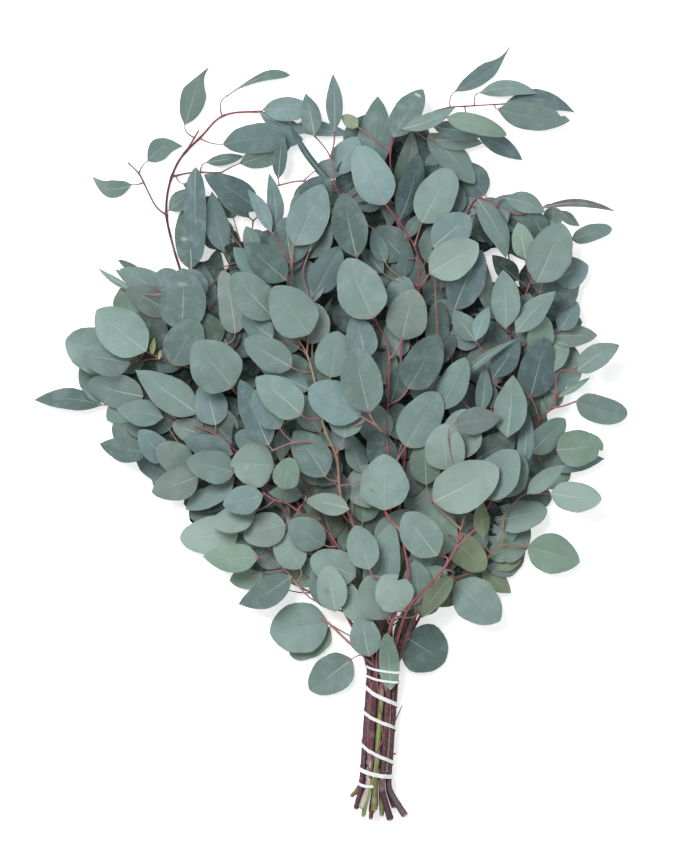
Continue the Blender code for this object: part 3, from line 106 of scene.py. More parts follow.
# Leafy stems, lowest first. "slot" is the row (0 = lowest) and place in that row inside the
# tie, "foot" the cut end below the tie, "path" the woody stem from the tie to its tip.
# "twigs" start at the nearest point of what has grown already. A leaf is its blade's base,
# its tip and its width as seen from above; "under" leaves lie below their own stem.
STEMS = [
    dict(name="leafy_stem_01", slot=(0, 0), foot=(27, -298), cut=2.4, hidden=True,
        path=[(20, -140), (-14, -84), (-58, -36), (-104, 6), (-146, 40), (-166, 62)]),
    dict(name="leafy_stem_02", slot=(0, 1), foot=(36, -300), cut=2.4, hidden=True,
        path=[(42, -130), (38, -60), (32, 20), (28, 90), (40, 160), (52, 214)]),
    dict(name="leafy_stem_03", slot=(0, 2), foot=(46, -302), cut=2.4, hidden=True,
        path=[(64, -140), (94, -84), (122, -24), (146, 36), (160, 96), (172, 136)]),
    dict(name="leafy_stem_04", slot=(1, 0), foot=(15.6, -291), cut=1.4,
        path=[(20, -140), (-10, -84), (-48, -14), (-88, 58), (-112, 104), (-121, 133), (-127, 153),
        (-132, 177), (-130, 200), (-121, 222), (-103, 241), (-91, 254), (-78, 259), (-55, 260)],
        twigs=[[(-132, 177), (-140, 183), (-147, 196), (-154, 210), (-163, 219)], [(-117, 229),
        (-106, 245)], [(-112, 104), (-92, 124), (-66, 150), (-62, 172)], [(-62, 158), (-50, 164),
        (-44, 158)], [(-127, 207), (-112, 211), (-88, 211)]],
        under=[(-95, 112, -90, 150, 17), (-97, 100, -103, 139, 18), (-68, 128, -98, 173, 14),
        (-83, 76, -92, 112, 18), (-30, 248, 16, 241, 13)],
        leaves=[(-112, 133, -118, 182, 20), (-85, 146, -95, 195, 20), (-65, 174, -96, 204, 15),
        (-130, 180, -108, 198, 17), (-58, 180, -101, 208, 24), (-108, 214, -105, 139, 14),
        (-118, 201, -100, 196, 9), (-100, 219, -70, 224, 10), (-57, 259, -18, 243, 14),
        (-73, 218, -31, 234, 18), (-86, 233, -22, 237, 24), (-54, 261, -12, 262, 21),
        (-117, 249, -104, 297, 20), (-84, 272, -34, 293, 9), (-147, 220, -121, 236, 15),
        (-160, 201, -192, 203, 11)]),
    dict(name="leafy_stem_05", slot=(1, 1), foot=(22, -299), cut=2.4, hidden=True,
        path=[(30, -130), (10, -62), (-18, 8), (-46, 76), (-66, 136), (-80, 176)]),
    dict(name="leafy_stem_06", slot=(1, 2), foot=(33, -304), cut=2.6,
        path=[(44, -130), (48, -60), (54, 20), (58, 100), (55, 170), (48, 214), (50, 236), (60, 247),
        (88, 261), (112, 264), (140, 266)],
        twigs=[[(40, 150), (18, 176), (7, 193), (3, 202), (0, 222), (-6, 232), (-13, 240)], [(0, 222),
        (3, 235), (3, 243)], [(50, 226), (36, 236), (23, 246)]],
        under=[(-42, 205, -38, 243, 12), (3, 200, -34, 253, 6), (62, 190, 70, 228, 15),
        (52, 188, 65, 244, 19), (28, 205, 38, 272, 28)],
        leaves=[(118, 241, 154, 221, 16), (50, 238, 74, 277, 24), (78, 242, 116, 202, 24),
        (82, 236, 122, 234, 16), (82, 247, 125, 240, 16), (57, 244, 100, 262, 13),
        (93, 253, 141, 240, 17), (22, 247, 9, 256, 11), (3, 243, 2, 290, 14), (-13, 240, -20, 274, 17),
        (140, 266, 196, 259, 15), (134, 261, 192, 252, 22), (120, 275, 166, 276, 11),
        (100, 276, 148, 310, 14)]),
    dict(name="leafy_stem_07", slot=(1, 3), foot=(44, -303), cut=1.8,
        path=[(60, -140), (78, -85), (98, -35), (118, 5), (129, 34), (143, 55), (161, 79), (170, 99),
        (174, 124)],
        twigs=[[(100, -30), (98, 40), (97, 110), (104, 160), (112, 184), (120, 191), (130, 185),
        (151, 177), (170, 182)], [(133, 60), (145, 88), (150, 97), (156, 112), (160, 122)], [(174, 118),
        (180, 124)]],
        under=[(178, 184, 180, 166, 16), (184, 180, 200, 168, 9), (175, 79, 214, 80, 19),
        (183, 84, 198, 107, 17), (132, 94, 121, 147, 14), (151, 124, 129, 144, 17),
        (118, 180, 129, 151, 16)],
        leaves=[(165, 65, 172, 95, 22), (148, 82, 180, 115, 20), (140, 85, 138, 132, 24),
        (194, 157, 226, 166, 14), (172, 158, 160, 182, 17), (140, 190, 172, 178, 17),
        (118, 189, 143, 143, 18), (156, 141, 150, 170, 18), (170, 182, 228, 179, 6),
        (180, 125, 207, 136, 27), (165, 122, 186, 169, 36), (88, 118, 98, 158, 26),
        (99, 100, 121, 148, 30)]),
    dict(name="leafy_stem_08", slot=(1, 4), foot=(52, -300), cut=2.4,
        path=[(75, -140), (104, -92), (130, -52), (148, -28), (159, -15), (160, -5), (167, 12), (178, 22),
        (180, 35), (182, 50), (196, 53)],
        twigs=[[(178, 22), (186, 23), (197, 27)], [(167, 12), (163, 25), (160, 30)], [(159, -15),
        (170, -13), (181, -12)], [(148, -28), (150, 0), (157, 14)], [(178, 24), (180, 29), (184, 31)]],
        under=[(160, 30, 172, 78, 31), (172, -22, 220, -19, 18), (130, 46, 150, 78, 20),
        (116, 75, 98, 100, 18), (116, 75, 127, 103, 13), (120, 18, 123, 57, 14)],
        leaves=[(161, -14, 188, 13, 22), (154, -24, 158, 18, 13), (183, 31, 208, 46, 6),
        (197, 51, 231, 72, 20), (181, -12, 219, -8, 30), (197, 27, 238, 16, 23), (103, 43, 148, 76, 7),
        (141, -2, 146, 48, 27)]),
    dict(name="leafy_stem_09", slot=(2, 0), foot=(20, -301), cut=2.0,
        path=[(10, -140), (-20, -84), (-55, -37), (-77, -12), (-90, -1), (-100, 4), (-118, 9),
        (-133, 13)],
        twigs=[[(-92, -2), (-112, -6), (-120, -18), (-128, -22)], [(-120, 9), (-140, 24), (-152, 32)]],
        under=[(-183, 24, -238, 28, 18), (-140, 3, -167, 8, 14), (-146, -14, -185, -7, 21),
        (-123, -30, -143, -40, 22)],
        leaves=[(-131, -21, -153, 4, 22), (-113, -26, -139, -9, 26), (-77, -33, -116, -60, 23),
        (-106, -33, -143, -46, 27), (-78, -15, -118, -3, 22), (-77, -30, -115, -21, 27),
        (-150, 31, -195, 41, 28), (-134, 14, -171, 21, 22), (-106, 17, -156, 52, 29),
        (-92, 8, -100, 43, 27), (-45, -24, -80, -23, 38)]),
    dict(name="leafy_stem_10", slot=(2, 1), foot=(26, -307), cut=1.5,
        path=[(22, -130), (0, -84), (-30, -22), (-62, 20), (-90, 45), (-120, 56), (-140, 61), (-156, 58)],
        twigs=[[(-118, 56), (-124, 74), (-126, 96), (-130, 112)], [(-136, 60), (-141, 64), (-141, 70)],
        [(-92, 46), (-80, 62), (-84, 76)]],
        under=[(-150, 125, -171, 141, 8), (-150, 118, -173, 133, 8), (-158, 116, -187, 134, 6),
        (-130, 112, -169, 133, 24), (-128, 98, -164, 117, 24), (-119, 84, -117, 133, 38),
        (-172, 62, -212, 76, 38), (-160, 57, -200, 64, 28)],
        leaves=[(-143, 64, -141, 78, 5), (-137, 61, -136, 68, 3), (-126, 56, -106, 92, 32),
        (-147, 67, -187, 100, 38), (-76, 81, -86, 131, 22), (-78, 38, -108, 74, 42)]),
    dict(name="leafy_stem_11", slot=(2, 2), foot=(32, -309), cut=1.6,
        path=[(38, -140), (26, -102), (18, -71), (8, -48), (5, -19), (-5, 6), (-12, 41), (-19, 65),
        (-28, 82), (-31, 119), (-31, 133), (-38, 147), (-45, 160)],
        twigs=[[(-19, 66), (-18, 76), (-18, 112), (-22, 130), (-17, 146)], [(-31, 133), (-30, 150),
        (-28, 152)]],
        under=[(-30, 173, -25, 196, 10), (-44, 162, -49, 209, 14), (-47, 161, -66, 196, 12),
        (-60, 145, -67, 166, 14), (-50, 121, -77, 149, 19), (-17, 36, -57, 56, 20), (-8, 2, -26, 34, 22),
        (-38, 6, -40, -21, 14)],
        leaves=[(-17, 146, -4, 197, 10), (-13, 112, 8, 151, 25), (-7, 89, 8, 115, 9),
        (-35, 123, -68, 152, 26), (-28, 151, -6, 200, 33), (-46, 77, -70, 95, 20),
        (-45, 93, -77, 128, 31), (-17, 80, -45, 118, 38), (-49, -8, -72, 44, 24), (-40, 5, -60, 36, 24),
        (-31, 54, -68, 76, 26), (15, -59, -21, -52, 18), (26, -31, 16, 1, 18), (11, -2, 14, 30, 28),
        (-4, -33, -29, 3, 30), (-23, 16, -59, 46, 30), (24, 15, -17, 38, 34), (0, 46, 6, 83, 31)]),
    dict(name="leafy_stem_12", slot=(2, 3), foot=(41.2, -306.4), cut=1.7,
        path=[(50, -130), (55, -60), (64, 20), (70, 80), (71, 120), (71, 137), (67, 151), (60, 163),
        (52, 174), (44, 184)],
        twigs=[[(67, 151), (73, 170)], [(72, 118), (79, 129)], [(66, 40), (84, 70), (84, 110),
        (82, 148)]],
        under=[(60, 157, 72, 177, 11), (55, 172, 70, 226, 22), (42, 130, 24, 150, 13),
        (44, 138, 34, 167, 14), (58, 126, 64, 153, 14), (84, 68, 88, 107, 20)],
        leaves=[(52, 98, 60, 127, 24), (88, 20, 108, 62, 24), (73, 170, 97, 213, 32),
        (82, 150, 112, 175, 30), (79, 129, 118, 153, 32), (44, 184, 22, 231, 32)]),
    dict(name="leafy_stem_13", slot=(2, 4), foot=(60.4, -306.4), cut=2.8,
        path=[(66, -150), (85, -119), (104, -113), (116, -109), (127, -98), (137, -88), (157, -90)],
        twigs=[[(137, -88), (138, -75), (140, -62), (152, -50), (158, -47), (176, -47)]],
        under=[(60, -162, 88, -180, 38), (122, -107, 145, -127, 18), (132, -68, 174, -60, 26),
        (127, -97, 152, -88, 18)],
        leaves=[(157, -47, 187, -24, 15), (122, -82, 120, -50, 14), (101, -118, 136, -149, 36),
        (158, -90, 200, -102, 33), (176, -47, 217, -51, 25)]),
    dict(name="leafy_stem_14", slot=(3, 0), foot=(24.4, -300), cut=2.9,
        path=[(28, -168), (14, -146), (9, -124), (12, -102), (-6, -73), (-20, -66), (-34, -55),
        (-45, -52), (-54, -46)],
        twigs=[[(28, -170), (8, -157), (-1, -152)], [(12, -144), (-14, -132), (-28, -118), (-36, -108),
        (-44, -96), (-52, -86)], [(-8, -73), (-22, -72), (-34, -73)]],
        under=[(-1, -155, -32, -178, 27), (17, -180, -17, -205, 32), (2, -140, -14, -106, 20),
        (-22, -48, -50, -46, 15), (-38, -43, -31, -18, 22), (-52, -85, -88, -80, 15),
        (-74, -78, -121, -83, 32)],
        leaves=[(20, -150, 16, -118, 18), (-34, -72, -8, -67, 14), (-24, -107, -43, -78, 26),
        (-54, -111, -81, -117, 21), (-58, -98, -102, -97, 24), (-31, -113, -72, -138, 24),
        (-36, -72, -70, -81, 28), (-60, -61, -95, -72, 23), (-54, -48, -86, -56, 24),
        (-5, -88, -33, -69, 27), (20, -113, -16, -98, 30), (-2, -151, -49, -159, 42),
        (4, -141, -2, -104, 25), (31, -177, 25, -143, 25)]),
    dict(name="leafy_stem_15", slot=(3, 1), foot=(34.8, -301.6), cut=3.0,
        path=[(46, -160), (54, -136), (62, -113), (59, -91), (56, -77), (45, -64), (43, -50), (46, -30),
        (46, -12), (45, 0), (46, 24), (47, 61), (45, 75), (38, 88)],
        twigs=[[(45, 0), (36, 8), (31, 17)], [(36, 8), (24, 15)], [(47, 22), (56, 29), (62, 37)],
        [(47, 60), (54, 68), (57, 76)], [(46, -30), (52, -22), (60, -9)]],
        under=[(60, -125, 64, -98, 24), (42, -120, 52, -84, 24), (36, -132, 50, -69, 30),
        (45, -147, 30, -112, 34), (70, -140, 68, -100, 26), (28, 60, 19, 96, 26), (57, 76, 67, 117, 34),
        (21, 142, 10, 193, 29), (48, 25, 57, 60, 17)],
        leaves=[(31, -107, 20, -72, 26), (59, -139, 41, -112, 32), (31, 18, 20, 70, 34),
        (34, 93, 13, 141, 39), (62, 37, 86, 80, 31), (60, -9, 86, 34, 34), (43, -60, 43, -15, 40),
        (49, -180, 51, -158, 17)]),
    dict(name="leafy_stem_16", slot=(3, 2), foot=(48.4, -309.6), cut=2.7,
        path=[(53, -164), (62, -138), (78, -120), (90, -107), (100, -90), (104, -75), (108, -62)],
        twigs=[[(100, -90), (112, -78), (118, -74)], [(90, -107), (94, -98), (86, -96)], [(104, -75),
        (88, -60), (81, -53)], [(108, -62), (116, -52), (122, -46)]],
        under=[(98, -112, 72, -146, 17), (95, -81, 124, -108, 26), (88, -97, 88, -56, 28),
        (100, -20, 108, 21, 34), (98, 8, 136, 14, 22), (138, -50, 150, -12, 30)],
        leaves=[(120, -50, 148, -12, 34), (85, -96, 59, -62, 32), (93, -28, 90, 9, 33),
        (82, -53, 134, -26, 40)]),
]


# Plan curves
def smooth_path(points, step=4.0):
    """Points every few millimetres on a smooth curve through the given plan points."""
    p = [np.array(q, dtype=float) for q in points]
    if len(p) == 2:
        p = [p[0], (p[0] + p[1]) / 2, p[1]]
    ends = [2 * p[0] - p[1]] + p + [2 * p[-1] - p[-2]]
    out = [p[0]]
    for i in range(1, len(ends) - 2):
        a, b, c, d = ends[i - 1], ends[i], ends[i + 1], ends[i + 2]
        n = max(2, int(round(np.linalg.norm(c - b) / step)))
        for k in range(1, n + 1):
            t = k / n
            q = 0.5 * (2 * b + (c - a) * t + (2 * a - 5 * b + 4 * c - d) * t * t
                       + (3 * b - a - 3 * c + d) * t ** 3)
            out.append(q)
    return np.array(out)


def run_length(points):
    """Distance along a polyline at each of its points."""
    return np.concatenate([[0.0], np.cumsum(np.linalg.norm(np.diff(points, axis=0), axis=1))])


def smoothed(values, rounds):
    """Values or points evened out between their two ends, which stay. They change in place."""
    for _ in range(rounds):
        values[1:-1] = (values[:-2] + 2 * values[1:-1] + values[2:]) / 4
    return values


def heading(start, end):
    """Distance from one plan point to another, and the direction there."""
    dx, dy = end[0] - start[0], end[1] - start[1]
    length = math.hypot(dx, dy)
    return length, (dx / length, dy / length)


def turned(direction, angle):
    """A plan direction turned to the left by an angle."""
    x, y = direction
    return x * math.cos(angle) - y * math.sin(angle), x * math.sin(angle) + y * math.cos(angle)


def stacked(*grids):
    """Grids of numbers as the columns of one table."""
    return np.stack([grid.ravel() for grid in grids], 1)


def inside(x, y, polygon):
    """True if a plan point lies inside a polygon."""
    hit = False
    j = len(polygon) - 1
    for i in range(len(polygon)):
        xi, yi = polygon[i]
        xj, yj = polygon[j]
        if (yi > y) != (yj > y) and x < (xj - xi) * (y - yi) / (yj - yi) + xi:
            hit = not hit
        j = i
    return hit


# Leaf outline and surface
def outline_width(x, p, q):
    """Half width, 0 to 1, of a blade at x = 0 (base) to 1 (tip)."""
    x = np.clip(x, 0.0, 1.0)
    return np.sin(math.pi * x ** p) ** q


def place_on(leaf, x, y):
    """Where plan points lie along and across a blade."""
    dx, dy = x - leaf["base"][0], y - leaf["base"][1]
    ux, uy = leaf["along"]
    return dx * ux + dy * uy, dy * ux - dx * uy


def over_blade(leaf, x, y, grow):
    """Which plan points lie over a blade grown by a margin, and their places on it."""
    s, t = place_on(leaf, x, y)
    wide = leaf["half"] * outline_width(s / leaf["length"], leaf["p"], leaf["q"])
    return (s > -grow) & (s < leaf["length"] + grow) & (np.abs(t) < wide + grow), s, t


def blade_height(leaf, s, t):
    """Height of a blade's middle surface at s along it and t across it."""
    x = np.clip(s / leaf["length"], 0.0, 1.0)
    y = np.clip(t / leaf["half"], -1.0, 1.0)
    return (leaf["z"] + leaf["rise"] * s + leaf["roll"] * t
            + leaf["arch"] * np.sin(math.pi * x) + leaf["cup"] * y * y)


class Pile:
    """Top surface of everything laid so far, so that the next stem can lie on it."""

    def __init__(self):
        self.x = np.arange(X_LOW, X_HIGH + CELL, CELL)
        self.y = np.arange(Y_LOW, Y_HIGH + CELL, CELL)
        self.top = np.zeros((len(self.x), len(self.y)))
        self.foliage = np.zeros((len(self.x), len(self.y)))
        self.blades = np.zeros((len(self.x), len(self.y)))
        self.stems = []

    def window(self, x0, x1, y0, y1):
        """The cells within plan limits, with their places."""
        i0 = max(0, int((x0 - X_LOW) / CELL))
        i1 = min(len(self.x), int((x1 - X_LOW) / CELL) + 2)
        j0 = max(0, int((y0 - Y_LOW) / CELL))
        j1 = min(len(self.y), int((y1 - Y_LOW) / CELL) + 2)
        gx, gy = np.meshgrid(self.x[i0:i1], self.y[j0:j1], indexing="ij")
        return (slice(i0, i1), slice(j0, j1)), gx, gy

    def under_leaf(self, leaf, grow=1.6):
        """Cells below a blade, with their places along and across it."""
        reach = leaf["length"] + leaf["half"] + 4
        cx, cy = (b + u * leaf["length"] / 2 for b, u in zip(leaf["base"], leaf["along"]))
        box, gx, gy = self.window(cx - reach, cx + reach, cy - reach, cy + reach)
        return (box, *over_blade(leaf, gx, gy, grow))

    def raise_to(self, grids, box, mask, top):
        """Raise grids to a new top surface where it is higher."""
        for grid in grids:
            part = grid[box]
            part[mask] = np.maximum(part[mask], top[mask])

    def lay_leaf(self, leaf):
        """Add a blade to the top surface."""
        box, mask, s, t = self.under_leaf(leaf)
        x = np.clip(s / leaf["length"], 0.0, 1.0)
        top = (leaf["z"] + leaf["rise"] * s + leaf["roll"] * t
               + leaf["arch"] * np.sin(math.pi * x) + leaf["cup"] + BLADE / 2)
        self.raise_to((self.top, self.foliage, self.blades), box, mask, top)

    def lay_rod(self, points, radius, stem=False):
        """Add a stem, twig or stalk to the top surface."""
        for a, b in zip(points[:-1], points[1:]):
            r = radius + 1.5
            box, gx, gy = self.window(min(a[0], b[0]) - r, max(a[0], b[0]) + r,
                                      min(a[1], b[1]) - r, max(a[1], b[1]) + r)
            dx, dy = b[0] - a[0], b[1] - a[1]
            k = dx * dx + dy * dy + 1e-9
            f = np.clip(((gx - a[0]) * dx + (gy - a[1]) * dy) / k, 0, 1)
            near = (gx - a[0] - f * dx) ** 2 + (gy - a[1] - f * dy) ** 2 < r * r
            top = a[2] + f * (b[2] - a[2]) + radius
            self.raise_to((self.top,) if stem else (self.top, self.foliage), box, near, top)

    def height(self, x, y, r, grid):
        """Highest point of a grid within r of a place."""
        r = r + 1.5
        box, gx, gy = self.window(x - r, x + r, y - r, y + r)
        near = (gx - x) ** 2 + (gy - y) ** 2 < r * r
        part = grid[box]
        return float(part[near].max()) if near.any() else 0.0


# Laying leaves and twigs
def make_leaf(pile, before, spec, rng, flat_if_low=False):
    """Lay one blade on the pile: it tilts with what is below it and clears it."""
    bx, by, tx, ty, width = spec
    length, along = heading((bx, by), (tx, ty))
    slim = width / length
    q = 0.58 + 0.1 * rng.random() if slim > 0.6 else 0.72 + 0.2 * rng.random()
    leaf = dict(base=(bx, by), along=along, length=length, half=width / 2,
                p=0.74 + 0.16 * rng.random(), q=q, z=0.0, rise=0.0, roll=0.0,
                arch=0.0, cup=0.0, seed=rng.randrange(1 << 30))
    draws = [rng.uniform(-1, 1) for _ in range(4)]
    side = rng.choice((-1, 1))
    box, mask, s, t = pile.under_leaf(leaf)
    below = pile.top[box][mask]
    others = before[box][mask]
    s, t = s[mask], t[mask]
    if flat_if_low and below.max() < 0.01:
        leaf["z"] = BLADE / 2
        pile.lay_leaf(leaf)
        return leaf
    fit = np.linalg.lstsq(np.stack([s, t, np.ones(len(s))], 1), below, rcond=None)[0]
    true_width = min(0.88 * length, 40.0)
    roll = 0.0
    if width < 0.72 * true_width:
        roll = min(0.8, math.sqrt((true_width / width) ** 2 - 1) * 0.55)
    limit = min(0.5, 12.0 / length)
    leaf["rise"] = float(np.clip(0.7 * fit[0], -limit, limit)) + 0.11 * draws[0]
    leaf["roll"] = float(np.clip(0.7 * fit[1], -0.4, 0.4)) + 0.14 * draws[1] + side * roll
    leaf["roll"] = float(np.clip(leaf["roll"], -0.95, 0.95))
    leaf["arch"] = length * (0.03 + 0.025 * draws[2])
    leaf["cup"] = width * (0.035 + 0.03 * draws[3])
    bottom = (leaf["rise"] * s + leaf["roll"] * t - BLADE / 2
              + leaf["arch"] * np.sin(math.pi * np.clip(s / length, 0, 1)))
    steep = abs(leaf["rise"]) + abs(leaf["roll"])
    air = np.where(others > 0.01, LIFT + steep, 0.2 + 0.5 * steep)
    floor = np.maximum(others + air, below + 0.3 + 0.3 * steep)
    leaf["z"] = float((floor - bottom).max())
    pile.lay_leaf(leaf)
    return leaf


def drape(pile, before, xy, radius, start, ease=0.25, others=()):
    """Heights for a rod along a plan curve: it sinks onto the pile and never enters it."""
    run = run_length(xy)
    need = np.array([pile.height(x, y, radius, before) for x, y in xy])
    need = np.where(need > 0.01, need + radius + LIFT, radius + 0.05)
    for centre, other_radius in others:
        reach = radius + other_radius + 0.35
        d2 = (xy[:, None, 0] - centre[None, :, 0]) ** 2 + (xy[:, None, 1] - centre[None, :, 1]) ** 2
        lift = centre[None, :, 2] + np.sqrt(np.maximum(0.0, reach * reach - d2))
        lift = np.where(d2 < reach * reach, lift, -1e3).max(axis=1)
        need = np.maximum(need, lift)
    gapped = np.abs(run[:, None] - run[None, :])
    z = (need[None, :] - ease * gapped).max(axis=1)
    z = np.maximum(z, start - ease * run)
    soft = z.copy()
    for _ in range(12):
        soft[1:-1] = np.maximum(need[1:-1], (soft[:-2] + 2 * soft[1:-1] + soft[2:]) / 4)
    soft[0] = start
    return np.column_stack([xy, soft])


def clear_of_pile(pile, before, points, radius, hold_end):
    """Raise a rod's inner points over what lay there before its own leafy stem."""
    last = len(points) - 1 if hold_end else len(points)
    for i in range(1, last):
        x, y, z = points[i]
        free = pile.height(x, y, radius, before)
        if free > 0.01:
            z = max(z, free + radius + 1.2)
        points[i][2] = max(z, radius + 0.05)


class Skeleton:
    """Samples of one leafy stem's wood, for twigs and leaf stalks to start from."""

    def __init__(self):
        self.rows = []

    def add(self, points, radius, skip_below=None):
        """Sample a rod at its points, with the direction it runs in."""
        for i in range(1, len(points)):
            if skip_below is not None and points[i][1] < skip_below:
                continue
            d = points[i] - points[i - 1]
            n = math.hypot(d[0], d[1]) + 1e-9
            self.rows.append((*points[i], d[0] / n, d[1] / n, radius))

    def root_for(self, x, y, along=None, forward=0.8):
        """Nearest sample, a place the leaf points away from at a forward angle first."""
        best, cost = None, 1e9
        for row in self.rows:
            vx, vy = x - row[0], y - row[1]
            dist = math.hypot(vx, vy)
            cosine = (vx * row[3] + vy * row[4]) / (dist + 1e-6)
            value = dist * (1 + forward * (1 - cosine) * 0.5)
            if along:
                value += dist * 0.5 * (1 - (vx * along[0] + vy * along[1]) / (dist + 1e-6))
            if value < cost:
                best, cost = row, value
        return best


def slot_place(slot):
    """Plan offset across the bundle and height of a tied stem."""
    row, place = slot
    return (place - (ROW_COUNTS[row] - 1) / 2) * SLOT_PITCH, FIRST_ROW_HEIGHT + row * SLOT_PITCH


def bundle_point(offset, top):
    """Plan point of a slot at the leaf side (top) or the cut side of the tie."""
    dx, dy = TIE_RUN
    n = math.hypot(dx, dy)
    x, y = TIE_TOP if top else TIE_FOOT
    return x + offset * dy / n, y - offset * dx / n


def hidden_twigs(path, rng):
    """Side twigs of a hidden stem, alternating left and right."""
    xy = smooth_path(path)
    run = run_length(xy)
    side = rng.choice((-1, 1))
    twigs = []
    at = 58.0
    while at < run[-1] - 12:
        i = int(np.searchsorted(run, at))
        d = xy[min(i + 2, len(xy) - 1)] - xy[i - 2]
        d = d / np.linalg.norm(d)
        reach = rng.uniform(52, 70)
        turn = side * math.radians(rng.uniform(46, 60))
        e = np.array(turned(d, turn))
        mid = xy[i] + e * reach * 0.5
        end = xy[i] + e * reach * 0.82 + d * reach * 0.3
        if inside(end[0], end[1], OUTLINE):
            twigs.append([tuple(xy[i]), tuple(mid), tuple(end)])
        side = -side
        at += rng.uniform(46, 56)
    return twigs


def open_cells():
    """Plan cells inside the outline, weighted most where no listed leaf covers them."""
    gx, gy = np.meshgrid(np.arange(-212.0, 214.0, 4.0), np.arange(-180.0, 272.0, 4.0), indexing="ij")
    gx, gy = gx.ravel(), gy.ravel()
    weight = np.array([1.0 if inside(a, b, OUTLINE) else 0.0 for a, b in zip(gx, gy)])
    for stem in STEMS:
        for spec in stem.get("under", []) + stem.get("leaves", []):
            covered = cells_under(gx, gy, spec)
            weight[covered] = np.minimum(weight[covered], 0.12)
    return gx, gy, weight


def cells_under(gx, gy, spec):
    """Which plan cells a leaf with this base, tip and width covers."""
    length, along = heading(spec[:2], spec[2:4])
    leaf = dict(base=spec[:2], along=along, length=length, half=spec[4] / 2, p=0.8, q=0.65)
    return over_blade(leaf, gx, gy, 0.0)[0]


def owner_of(place, owner_paths):
    """The hidden stem nearest to a place, and the direction in which a leaf there grows."""
    owner, cost, lie = None, 1e9, (0, 1)
    for name, curves in owner_paths.items():
        for curve in curves:
            d = np.linalg.norm(curve - place, axis=1)
            i = int(d.argmin())
            if d[i] < cost:
                v = curve[min(i + 2, len(curve) - 1)] - curve[max(i - 2, 0)]
                v = v / (np.linalg.norm(v) + 1e-9)
                away = place - curve[i]
                v = v + 0.8 * away / (np.linalg.norm(away) + 4)
                owner, cost, lie = name, d[i], v / (np.linalg.norm(v) + 1e-9)
    return owner, lie


def hidden_leaves(owner_paths, rng):
    """Lower leaves where they close the most of the bunch, each on the nearest hidden stem."""
    gx, gy, weight = open_cells()
    candidates = []
    pitch = 16.0
    row = 0
    y = -170.0
    while y < 262:
        x = -206.0 + (row % 2) * pitch / 2
        while x < 210:
            length, width = rng.uniform(42, 48), rng.uniform(36, 41)
            swing = rng.choice((-1, 1)) * math.radians(rng.uniform(12, 62))
            owner, lie = owner_of(np.array([x, y]), owner_paths)
            ux, uy = turned(lie, swing)
            spec = (x - ux * length / 2, y - uy * length / 2,
                    x + ux * length / 2, y + uy * length / 2, width)
            sx, sy = -uy * width * 0.5, ux * width * 0.5
            probes = [spec[:2], (spec[2] + ux * 2, spec[3] + uy * 2), (x + sx, y + sy), (x - sx, y - sy)]
            if all(inside(a, b, OUTLINE) for a, b in probes):
                candidates.append((owner, spec, np.flatnonzero(cells_under(gx, gy, spec))))
            x += pitch
        y += pitch * 0.87
        row += 1
    given = {name: [] for name in owner_paths}
    for _ in range(HIDDEN_LEAVES):
        gains = [float(weight[cells].sum()) for _, _, cells in candidates]
        owner, spec, cells = candidates[int(np.argmax(gains))]
        given[owner].append(spec)
        weight[cells] *= 0.15
    return given


def woody_stem(pile, stem):
    """A stem's points and sizes: cut end, straight through the tie, then draped over the pile."""
    offset, level = slot_place(stem["slot"])
    upper = smooth_path([bundle_point(offset, True)] + stem["path"])
    run = run_length(upper)
    radii = STEM_RADIUS + (STEM_TIP_RADIUS - STEM_RADIUS) * run / run[-1]
    draped = drape(pile, pile.foliage, upper, STEM_RADIUS, level, others=pile.stems)
    climb = 1.1 * np.maximum(0.0, draped[:, 1] + 178.0 - 7.0 * (3 - stem["slot"][0]))
    draped[:, 2] = np.minimum(draped[:, 2], level + climb)
    straight = np.array([[*stem["foot"], level], [*bundle_point(offset, False), level]])
    return np.vstack([straight, draped]), np.concatenate([[stem["cut"], STEM_RADIUS], radii])


def lay_stalk(pile, before, skeleton, leaf, keep_twig):
    """The stalk of a leaf, and a twig first where the leaf is far from the wood."""
    base, along = np.array(leaf["base"]), np.array(leaf["along"])
    root = skeleton.root_for(*leaf["base"], leaf["along"])
    start, goal = np.array(root[:3]), np.array([*base, leaf["z"]])
    growth = np.array([root[3], root[4]])
    far = math.hypot(base[0] - root[0], base[1] - root[1])
    if far > TWIG_REACH and keep_twig:
        neck = base - along * 5.0
        bend = (start[:2] + neck) / 2 + growth * far * 0.12
        xy = smooth_path([start[:2], bend, neck])
        points = np.column_stack([xy, np.linspace(start[2], goal[2], len(xy))])
        clear_of_pile(pile, before, points, TWIG_RADIUS, False)
        keep_twig(points, TWIG_RADIUS)
        back = points[-1] - points[-2]
        start = points[-1] - back / np.linalg.norm(back) * 1.6
    else:
        d = goal - start
        start = start - d / (np.linalg.norm(d) + 1e-6) * 0.7
    mid = (start[:2] + goal[:2]) / 2 + growth * min(far, 12) * 0.08
    v = goal[:2] - start[:2]
    if (v[0] * along[0] + v[1] * along[1]) < 0.6 * np.linalg.norm(v):
        mid = goal[:2] - along * min(4.0, 0.4 * far + 1.0)
    xy = smooth_path([start[:2], mid, goal[:2]], 3.0)
    points = np.column_stack([xy, np.linspace(start[2], goal[2], len(xy))])
    clear_of_pile(pile, before, points, STALK_RADIUS, True)
    leaf["stalk"] = points
    pile.lay_rod(points, STALK_RADIUS)


